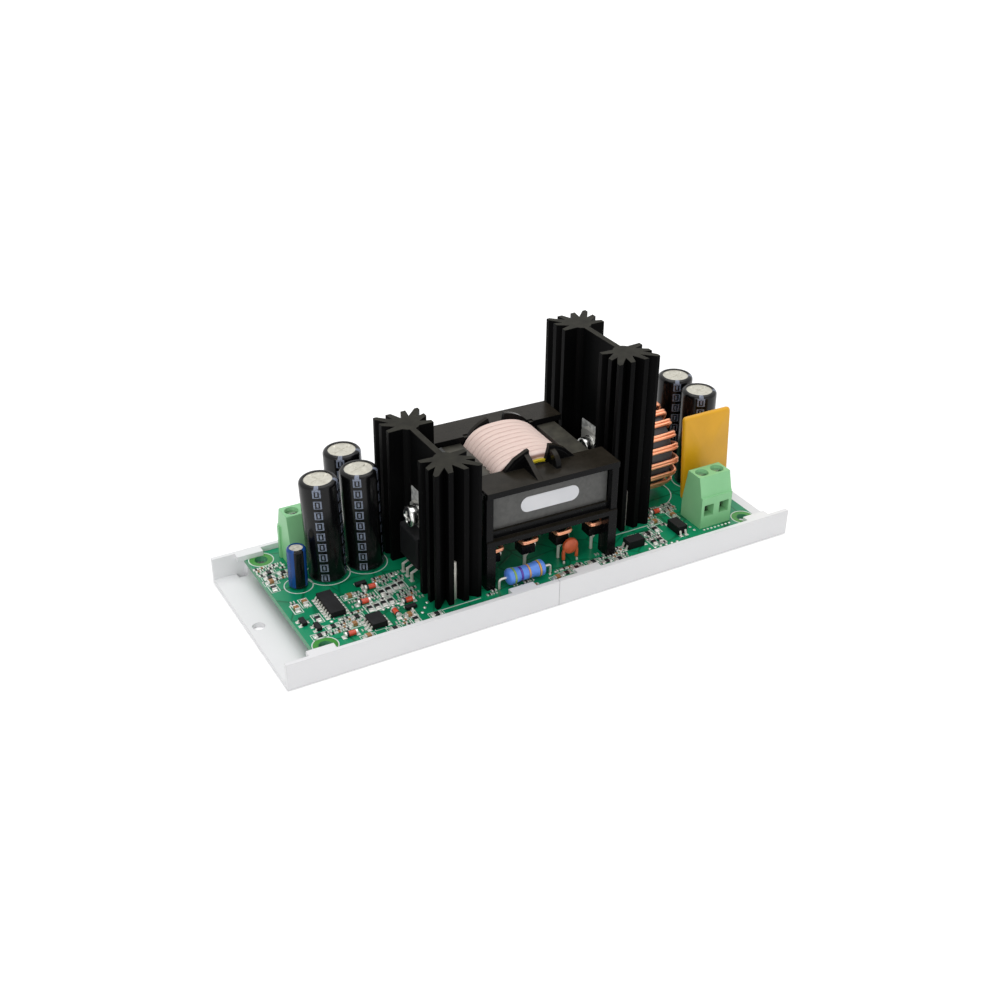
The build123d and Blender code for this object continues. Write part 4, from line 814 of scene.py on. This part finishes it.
def resistor_body():
    """A dog-bone body: radius = waist + swell where |x| nears each end, shut by a quarter round; and two leads, each
    a circle carried out, round a bend and down through the board."""
    low, high, centre = box_of(solids("power_resistor")[0])
    length, end_radius = high[0] - low[0], (high[2] - low[2]) / 2
    swell_rise = 0.28
    x = np.linspace(-1, 1, 65)
    swell = 1 / (1 + np.exp(-(np.abs(x) - 0.5) * 22))
    shut = np.sqrt(np.clip(1 - np.clip((np.abs(x) - 0.8) / 0.2, 0, 1) ** 2.5, 0, 1))
    radius = (end_radius - swell_rise + swell_rise * swell) * shut
    grid = lathe(np.stack([radius, x * length / 2], -1), 36, (1, 0, 0), centre)
    piece("power_resistor_body", [surface(grid)], [banded_lacquer(centre, length)],
          ["power_resistor"])
    patches = []
    for lead in solids("power_resistor_leads"):
        near, far = span(lead)
        outward = 1 if near[0] > centre[0] else -1
        hole = (far[0] - 0.35) if outward > 0 else (near[0] + 0.35)
        path = rounded_path([(centre[0] + outward * (length / 2 - 0.3), centre[1], centre[2]),
                             (hole, centre[1], centre[2]), (hole, centre[1], near[2])], 0.8)
        patches.append(surface(tube(path, 0.34, 12)))
    return piece("power_resistor_wires", patches, [TIN], ["power_resistor_leads"])


resistor_body()


def dipped_plate():
    """The fuse's coated plate: a four-cornered outline with rounded corners, carried through its thickness and drawn
    in at both faces by e (1 - sqrt(1 - s^2)), with s from -1 to 1 across it."""
    points = solids("resettable_fuse")[0]
    low, high, (_, mid_y, mid_z) = box_of(points)
    foot, top = (points[np.abs(points[:, 2] - z) < 1.5][:, 0] for z in (low[2], high[2]))
    middle = (foot.min() + foot.max()) / 2
    corners = [(foot.max() + 0.3, low[2]), (top.max() + 0.3, high[2]), (top.min() + 0.35, high[2]),
               (foot.min() + 0.75, low[2])]
    outline = rounded_path([(middle, low[2])] + corners + [(middle, low[2])], 1.2)[:-1]
    centre = np.array([(outline[:, 0].min() + outline[:, 0].max()) / 2, mid_z])
    reach = np.array([outline[:, 0].max() - centre[0], (high[2] - low[2]) / 2])
    thick, rolled = (high[1] - low[1]) / 2, 0.7
    rings = []
    for s, keep in [(-1.0, 0.0)] + [(math.sin(a), 1.0) for a in np.linspace(-1.45, 1.45, 11)] + [(1.0, 0.0)]:
        inset = rolled * (1 - math.sqrt(1 - s * s))
        ring = centre + (outline - centre) * (1 - inset / reach) * keep
        rings.append(np.stack([ring[:, 0], np.full(len(ring), mid_y + thick * s), ring[:, 1]], -1))
    return piece("dipped_fuse_plate", [surface(np.array(rings))], [YELLOW_EPOXY],
                 ["resettable_fuse"])


dipped_plate()


def dipped_disc():
    """The dipped disc: a lens r = R (1 - |h|^3)^(1/2.4) turned about Y, with its coating run down both legs."""
    low, high, (x, y, _) = box_of(solids("disc_capacitor")[0])
    radius = 2.25
    x, middle = x - 0.25, high[2] - radius + 0.05
    h = np.linspace(-1, 1, 21)
    r = radius * np.clip(1 - np.abs(h) ** 3, 0, 1) ** (1 / 2.4)
    lens = np.stack([r, h * (high[1] - low[1]) / 2], -1)
    patches = [surface(lathe(lens, 36, (0, 1, 0), (x, y, middle)))]
    for side in (-1, 1):
        path = rounded_path([(x + side * 1.2, y, middle), (x + side * 2.05, y, middle - 1.2),
                             (x + side * 2.0, y, low[2] + 0.6)], 0.7)
        patches.append(surface(tube(path, 0.46, 12)))
    return piece("dipped_disc", patches, [ORANGE_EPOXY], ["disc_capacitor"])


dipped_disc()


# Round leads, solder and screws

def round_leads(name, finish, slot, *nodes):
    """Straight leads as round wire with rounded ends, in place of the flat-sided ones."""
    patches = []
    for node in nodes:
        for points in solids(node):
            low, high, (x, y, _) = box_of(points)
            r = (high[0] - low[0]) / 2
            profile = [(0, low[2]), (r * 0.7, low[2]), (r, low[2] + 0.15), (r, high[2] - 0.15),
                       (r * 0.7, high[2]), (0, high[2])]
            patches.append(surface(lathe(profile, 14, centre=(x, y, 0))))
    return piece(name, patches, [finish], nodes)


round_leads("round_leads", TIN, "tinned_metal", "transformer_pins", "capacitor_leads", "resettable_fuse_leads",
            "disc_capacitor_leads", "heatsink_solder_pins")
round_leads("choke_lead_wires", COPPER, "enamelled_copper", "choke_leads")


def solder_cones():
    """Solder under the board: a hollow-sided cone, radius = tip + (foot - tip)(1 - s)^2 at share s of its height."""
    patches = []
    for points in solids("solder_joints"):
        low, high, (x, y, _) = box_of(points)
        foot = (high[0] - low[0]) / 2
        tip = foot - 0.45
        s = np.linspace(0, 1, 6)
        radius = np.concatenate([[0], tip + (foot - tip) * (1 - s) ** 2, [0]])
        height = np.concatenate([[high[2]], high[2] - s * (high[2] - low[2]), [low[2]]])
        patches.append(surface(lathe(np.stack([radius, height], -1), 18, centre=(x, y, 0))))
    return piece("solder_cones", patches, [SOLDER], ["solder_joints"])


solder_cones()


def pan_head_screws():
    """Screws with a domed head and a cross recess. With r from 0 to 1 in the head's own disc: height =
    T (0.45 + 0.55 sqrt(1 - (0.96 r)^4)), less a recess depth where one of |y|, |z| is under a blade's half width
    and the other under its reach. Each sits on a thick ring and a washer, on the screw's own line."""
    head, tall, shim, recess = 2.8, 2.0, 0.9, 1.1
    around = 72
    lift = (1.0, -0.8)           # how far each transistor's screw stands above or below its solid
    patches, rings = [], []
    for points, washer, rise in zip(solids("transistor_screws"), solids("transistor_washers"), lift):
        low, high, (_, y0, z0) = box_of(points + (0, 0, rise))
        seat, end = low[0] + tall - shim, high[0]
        ring = [(1.6, seat), (2.65, seat), (2.65, seat + shim), (1.6, seat + shim), (1.6, seat)]
        patches.append(surface(lathe(ring, 48, (1, 0, 0), (0, y0, z0))))
        r = np.concatenate([np.linspace(0, 1, 22), [1.0]])[:, None]
        t = round_angles(around)[None, :]
        y, z = head * r * np.cos(t + 0.3), head * r * np.sin(t + 0.3)
        dome = tall * (0.45 + 0.55 * np.sqrt(np.clip(1 - (r * 0.96) ** 4, 0, 1))) + 0 * t
        blade = np.clip((0.42 - np.minimum(np.abs(y), np.abs(z))) / 0.15, 0, 1)
        reach = np.clip((1.75 - np.maximum(np.abs(y), np.abs(z))) / 0.5, 0, 1)
        height = dome - recess * blade * reach
        height[-1] = 0.0
        grid = np.stack([seat - height, y0 + y, z0 + z], -1)
        base = np.repeat(np.array([seat, y0, z0])[None, None], around, 1)
        patches.append(surface(np.concatenate([grid, base])))
        shank = [(0, seat - 0.1), (1.5, seat - 0.1), (1.5, end - 0.4), (1.1, end), (0, end)]
        patches.append(surface(lathe(shank, 28, (1, 0, 0), (0, y0, z0))))
        low, high, (_, y0, z0) = box_of(washer + (0, 0, rise))
        near, far = low[0], high[0]
        section = [(1.6, near), (2.9, near), (3.0, near + 0.1), (3.0, far), (1.6, far), (1.6, near)]
        rings.append(surface(lathe(section, 48, (1, 0, 0), (0, y0, z0))))
    piece("pan_head_screws", patches, [STEEL], ["transistor_screws"], sharp=50)
    return piece("round_washers", rings, [STEEL], ["transistor_washers"])


pan_head_screws()


def mica_pads():
    """The insulating sheets behind the transistors, a little larger than the tabs, so that a rim shows."""
    patches = []
    for points, taller in zip(solids("insulating_pads"), (1.8, 0.4)):
        low, high = span(points)
        low[1:] -= (0.9, 0.3)
        high[1:] += (0.9, taller)
        patches.append(surface(slab(low, high, 0.02)))
    return piece("mica_sheets", patches, [MICA], ["insulating_pads"])


mica_pads()


# Chip parts, diodes and their solder

def longer_side(low, high):
    """0 where a box is longer along X, else 1."""
    return 0 if high[0] - low[0] > high[1] - low[1] else 1


def chips_and_pads():
    """Chip parts from the boxes of the solids: body, two metal ends, and a solder pad that slopes up to each."""
    end_cap, pads, outlines = 0.42, [], []
    for node, finish, slot in (("chip_resistors", THICK_FILM, "dark_ceramic"),
                               ("chip_capacitors", TAN_CERAMIC, "tan_ceramic")):
        patches = []
        for points in solids(node):
            low, high = span(points)
            a = longer_side(low, high)
            body_low, body_high = low.copy(), high.copy()
            body_low[a] += end_cap
            body_high[a] -= end_cap
            patches.append(surface(slab(body_low, body_high, 0.06)))
            for end, inward in ((low[a], 1), (high[a], -1)):
                cap_low, cap_high, pad_low, pad_high = low.copy(), high.copy(), low.copy(), high.copy()
                cap_low[a], cap_high[a] = sorted((end, end + inward * end_cap))
                pad_low[a], pad_high[a] = sorted((end - inward * 0.6, end + inward * 0.3))
                pad_low[1 - a] -= 0.08
                pad_high[1 - a] += 0.08
                pad_high[2] = BOARD_TOP + 0.3
                patches.append(surface(slab(cap_low, cap_high, 0.08), finish=1))
                pads.append(surface(slab(pad_low, pad_high, 0.28)))
            room = np.array((0.5 + 0.5 * (a == 0), 0.5 + 0.5 * (a == 1)))
            outlines.append(ink_box(low[:2] - room, high[:2] + room))
        piece(node + "_bodies", patches, [finish, SOLDER], [node])
    return pads, outlines


def foot_pad(points, out):
    """A thin solder pad under some points: their outline seen from above, grown by a margin."""
    low, high = span(points)
    low[:2] -= out
    high[:2] += out
    low[2], high[2] = BOARD_TOP, BOARD_TOP + 0.14
    return surface(slab(low, high, 0.12))


def lead_pads():
    """A pad under each foot of the small packages: the foot's own outline, a little larger."""
    return [foot_pad(points[points[:, 2] < BOARD_TOP + 0.3], out)
            for node, out in (("controller_leads", 0.3), ("driver_leads", 0.3), ("small_transistor_leads", 0.3),
                              ("left_transistor_leads", 0.35), ("right_transistor_leads", 0.35))
            for points in solids(node)]


def pad_rows():
    """Rows of bare solder pads and test points on the open board: x, y of the first and last, count and radius."""
    rows = ((-42.6, -3.0, -34.6, -1.6, 7, 0.5), (-46.0, -7.9, -40.6, -9.6, 5, 0.45),
            (-44.4, -14.6, -38.6, -13.6, 5, 0.45), (-57.8, -13.2, -53.6, -13.4, 3, 0.5),
            (-36.4, -20.4, -33.4, -17.0, 3, 0.45), (-62.2, 17.2, -58.8, 16.6, 3, 0.5),
            (30.6, -22.8, 39.4, -23.2, 6, 0.45), (36.4, -18.4, 37.4, -17.4, 2, 0.4),
            (0.6, -20.6, 9.6, -19.6, 6, 0.4), (11.4, -23.6, 24.2, -23.8, 7, 0.4),
            (22.4, -21.2, 24.0, -19.0, 3, 0.45), (46.6, -15.2, 47.0, -20.6, 4, 0.45),
            (55.0, 21.6, 61.0, 22.0, 3, 0.5), (49.4, -21.9, 57.8, -22.1, 8, 0.4),
            (-20.2, 20.4, -8.4, 21.4, 6, 0.45), (8.4, 21.8, 22.4, 21.2, 7, 0.45), (40.0, 22.4, 48.0, 22.0, 4, 0.45))
    patches = []
    for x0, y0, x1, y1, count, size in rows:
        profile = [(0, BOARD_TOP), (size, BOARD_TOP), (size * 0.75, BOARD_TOP + 0.12), (0, BOARD_TOP + 0.2)]
        for x, y in zip(np.linspace(x0, x1, count), np.linspace(y0, y1, count)):
            patches.append(surface(lathe(profile, 12, centre=(x, y, 0))))
    return patches


def diode_bodies():
    """Glass diodes: a red-orange barrel between two metal ends, with a black band at one end of the glass."""
    glass, metal, band = range(3)
    patches, pads = [], []
    for points in solids("diodes"):
        low, high, centre = box_of(points)
        a = longer_side(low, high)
        half, r = (high[a] - low[a]) / 2, (high[2] - low[2]) / 2
        cap_at, band_at = half - 0.55, half - 1.1
        for finish, wide, heights in ((metal, r, (-half, -half + 0.05, -cap_at, -cap_at)),
                                      (band, r * 0.93, (-cap_at, -cap_at, -band_at, -band_at)),
                                      (glass, r * 0.93, (-band_at, -band_at, cap_at, cap_at)),
                                      (metal, r, (cap_at, cap_at, half - 0.05, half))):
            profile = list(zip((0, wide, wide, 0), heights))
            patches.append(surface(lathe(profile, 20, np.eye(3)[a], centre), finish=finish))
        for side in (-1, 1):
            pad_low, pad_high = low.copy(), high.copy()
            pad_low[a], pad_high[a] = sorted((centre[a] + side * (half - 0.5), centre[a] + side * (half + 0.6)))
            pad_high[2] = BOARD_TOP + 0.4
            pads.append(surface(slab(pad_low, pad_high, 0.35)))
    piece("diode_bodies", patches, [RED_GLASS, SOLDER, BLACK_BAND], ["diodes"])
    return pads


def small_packages():
    """The two packages in front of the tall heatsink, drawn smaller than their solids about each one's own centre on
    the board. The right one is turned a quarter, so that its leads face the front wall."""
    centres = [np.append(points[:, :2].mean(0), BOARD_TOP) for points in solids("optocoupler_case")]
    for node, finish, slot, name in (("optocoupler_case", EPOXY, "black_epoxy", "package_bodies"),
                                     ("optocoupler_leads", TIN, "tinned_metal", "package_leads")):
        points, *rest = node_patch(node)
        away = [np.linalg.norm(points[:, :2] - centre[:2], axis=1) for centre in centres]
        right = away[1] < away[0]
        for mine, centre, turn in zip((~right, right), centres, (0, 90)):
            points[mine] = turned((points[mine] - centre) * (0.78, 0.66, 0.72), turn) + centre
        piece(name, [(points, *rest)], [finish], [node], sharp=30)
    feet, pads = points[points[:, 2] < BOARD_TOP + 0.25], []
    for centre in centres:
        near = feet[np.linalg.norm(feet[:, :2] - centre[:2], axis=1) < 6]
        quarter = np.sign(near[:, :2] - centre[:2])
        for corner in ((-1, -1), (-1, 1), (1, -1), (1, 1)):
            spot = near[(quarter == corner).all(1)]
            if len(spot):
                pads.append(foot_pad(spot, 0.25))
    return pads


def tiny_chips():
    """The smallest chip parts and bare pads: regions filled row by row, with each place left out that a larger part
    or its solder already takes."""
    taken = [span(points) for node in ("chip_resistors", "chip_capacitors", "diodes", "controller_case", "driver_case",
                                       "controller_leads", "driver_leads", "small_transistor_case",
                                       "small_transistor_leads", "optocoupler_case", "output_terminal_housing",
                                       "right_heatsink", "left_heatsink", "left_transistor_leads")
             for points in solids(node)]
    margin, across, along = (0.8, 0.55), 1.12, 1.62
    taken = np.array([np.concatenate([low[:2] - margin, high[:2] + margin]) for low, high in taken])
    regions = ((-55.6, -20.4, -50.4, -12.0), (-45.6, -22.6, -42.2, -17.6), (-41.6, -23.6, -37.0, -15.0),
               (-50.4, -12.4, -47.2, -7.0), (-47.6, -12.6, -39.6, -4.2), (-41.0, -4.4, -32.0, -0.6),
               (-66.0, 10.6, -59.0, 17.4), (-63.6, -4.6, -59.4, -0.8), (-61.2, -18.2, -55.4, -13.8),
               (-40.0, -14.0, -32.6, -9.4), (29.4, -22.0, 37.2, -14.2), (39.4, -14.4, 42.0, -3.6),
               (42.0, -9.0, 49.4, -4.8), (16.4, -23.0, 23.2, -18.4), (-10.0, -23.2, -5.0, -20.6),
               (3.4, -22.6, 10.4, -19.6), (-18.0, -21.6, -15.4, -19.4))
    bodies, pads = [], []
    for x0, y0, x1, y1 in regions:
        for j, y in enumerate(np.arange(y0, y1, across)):
            for i, x in enumerate(np.arange(x0 + 0.3 * (j % 2), x1, along)):
                inside = (taken[:, 0] < x) & (x < taken[:, 2]) & (taken[:, 1] < y) & (y < taken[:, 3])
                kind = (3 * i + 5 * j + int(abs(x0))) % 8
                if inside.any() or kind == 7:
                    continue
                if kind < 4:
                    bodies.append(surface(slab((x - 0.26, y - 0.3, BOARD_TOP), (x + 0.26, y + 0.3, BOARD_TOP + 0.42),
                                               0.04), finish=int(kind == 3)))
                for side in (-1, 1):
                    a, b = sorted((x + side * 0.24, x + side * (0.76 if kind < 4 else 0.6)))
                    pads.append(surface(slab((a, y - 0.42, BOARD_TOP), (b, y + 0.42, BOARD_TOP + 0.4), 0.12)))
    piece("tiny_chip_bodies", bodies, [THICK_FILM, TAN_CERAMIC])
    return pads


def ink_box(low, high):
    """A printed rectangle between two corners."""
    return printed_line([(low[0], low[1]), (high[0], low[1]), (high[0], high[1]), (low[0], high[1])])


def ring_of_ink(x, y, radius):
    """A printed circle: (x + R cos t, y + R sin t)."""
    t = round_angles(64)
    return printed_line(np.stack([x + radius * np.cos(t), y + radius * np.sin(t)], -1))


def board_print():
    """Solder pads as one piece and the silkscreen as another."""
    pads, outlines = chips_and_pads()
    pads = pads + lead_pads() + pad_rows() + diode_bodies() + small_packages() + tiny_chips()
    piece("solder_pads", pads, [SOLDER])
    for node, margin in (("capacitor_sleeves", 0.75), ("small_capacitor_sleeve", 1.2)):
        for foot, _, _, radius in map(upright_axis, solids(node)):
            outlines.append(ring_of_ink(foot[0], foot[1], radius + margin))
    hole_x, hole_y = board_high[0] - HOLE_INSET, board_high[1] - HOLE_INSET
    outlines += [ring_of_ink(x, y, 3.25) for x in (-hole_x, hole_x) for y in (-hole_y, hole_y)]
    x, y, _ = box_of(solids("choke_core")[0])[2]
    outlines.append(ring_of_ink(x + 0.4, y - 4.0, 8.6))
    for node in ("left_heatsink", "right_heatsink"):
        (x0, y0, _), (x1, _, _) = span(solids(node)[0])
        outlines.append(surface(slab((x0 + 1, y0 - 0.8, BOARD_TOP), (x1 - 0.5, y0 - 0.52, BOARD_TOP + INK_RISE))))
    for node in ("controller_case", "driver_case"):
        low, high = span(solids(node)[0])
        outlines.append(ink_box(low[:2] + (0.5, -0.5), high[:2] + (-0.5, 0.5)))
    return piece("silkscreen", outlines, [INK])


board_print()


# Floor, lights and camera

def straight_rays(tree):
    """1 for a camera, glossy or transmission ray, and 0 for every other."""
    rays = add(tree, "LightPath").outputs
    seen = add(tree, "Math", {0: rays["Is Camera Ray"], 1: rays["Is Glossy Ray"]}, operation="MAXIMUM")
    return add(tree, "Math", {0: seen, 1: rays["Is Transmission Ray"]}, operation="MAXIMUM")


def floor_and_backdrop():
    """A white sweep: a flat floor far larger than the module. Camera and mirror rays also get a little light from
    it, so that it shows white round the object and keeps the object's soft shadow."""
    mesh = bpy.data.meshes.new("floor")
    reach, level = 3.0, cad_box[0][2] - 0.0001
    mesh.from_pydata([(-reach, -reach, level), (reach, -reach, level), (reach, reach, level), (-reach, reach, level)],
                     [], [(0, 1, 2, 3)])
    in_scene("floor", mesh)
    made = bpy.data.materials.new("white paper sweep")
    tree = empty_tree(made)
    away = add(tree, "VectorMath", {0: add(tree, "TexCoord").outputs["Object"]}, operation="LENGTH")
    far = add(tree, "MapRange", {"Value": away, "From Min": 0.16, "From Max": 0.6, "To Min": 0.3, "To Max": 1.0})
    lift = add(tree, "Math", {0: straight_rays(tree), 1: far}, operation="MULTIPLY")
    glow = add(tree, "Emission", {"Color": (1, 1, 1, 1), "Strength": lift})
    paper = add(tree, "BsdfDiffuse", {"Color": "#F4F4F4"})
    add(tree, "OutputMaterial", {"Surface": add(tree, "AddShader", {0: paper, 1: glow})})
    mesh.materials.append(made)


def level_axes(back):
    """Right, up and back axes of a level camera or lamp that looks along -back."""
    back = np.array(back, float) / np.linalg.norm(back)
    right = np.cross([0, 0, 1.0], back)
    right /= np.linalg.norm(right)
    return right, np.cross(back, right), back


def set_up(name, data, axes, place):
    """A camera or lamp in the scene at a place in metres, with its right, up and back axes."""
    holder = in_scene(name, data)
    holder.matrix_world = Matrix([[axis[i] for axis in axes] + [place[i]] for i in range(3)] + [[0, 0, 0, 1]])
    return holder


def soft_light(name, place, aim, size, power):
    """A square soft box at a place, turned to its aim."""
    lamp = bpy.data.lights.new(name, "AREA")
    lamp.shape, lamp.size, lamp.energy = "SQUARE", size, power
    set_up(name, lamp, level_axes(np.array(place) - np.array(aim)), place)


def studio():
    """World and lamps: an even white room, a large soft box overhead, one from the left and a weak one in front."""
    world = bpy.data.worlds.new("studio")
    tree = empty_tree(world)
    strength = add(tree, "MapRange", {"Value": straight_rays(tree), "To Min": 0.46, "To Max": 1.0})
    sky = add(tree, "Background", {"Color": (1, 1, 1, 1), "Strength": strength})
    add(tree, "OutputWorld", {"Surface": sky})
    bpy.context.scene.world = world
    soft_light("overhead_box", (0.1, 0.1, 0.9), (0, 0, 0), 0.9, 5.0)
    soft_light("left_box", (-0.8, -0.7, 0.6), (0, 0, 0.02), 0.6, 3.4)
    soft_light("front_box", (0.4, -1.0, 0.5), (0, 0, 0.02), 0.7, 0.6)


def camera():
    """The photograph's camera, solved from the tray's corners and edges: bearing, height and roll in degrees,
    focal length in pixels of a 1000-pixel frame, and its place in millimetres."""
    bearing, height, roll = (math.radians(v) for v in (-29.74, 30.31, 0.74))
    focal_pixels, frame_pixels, sensor = 1378.4, 1000.0, 36.0
    place = np.array((-160.06, -275.09, 204.12)) * MM
    right, up, back = level_axes((math.sin(bearing) * math.cos(height), -math.cos(bearing) * math.cos(height),
                                  math.sin(height)))
    axes = right * math.cos(roll) + up * math.sin(roll), up * math.cos(roll) - right * math.sin(roll), back
    lens = bpy.data.cameras.new("camera")
    lens.sensor_width = sensor
    lens.lens = focal_pixels / frame_pixels * sensor
    lens.clip_start = 0.01
    bpy.context.scene.camera = set_up("camera", lens, axes, place)


floor_and_backdrop()
studio()
camera()
bpy.context.scene.view_settings.view_transform = "Standard"
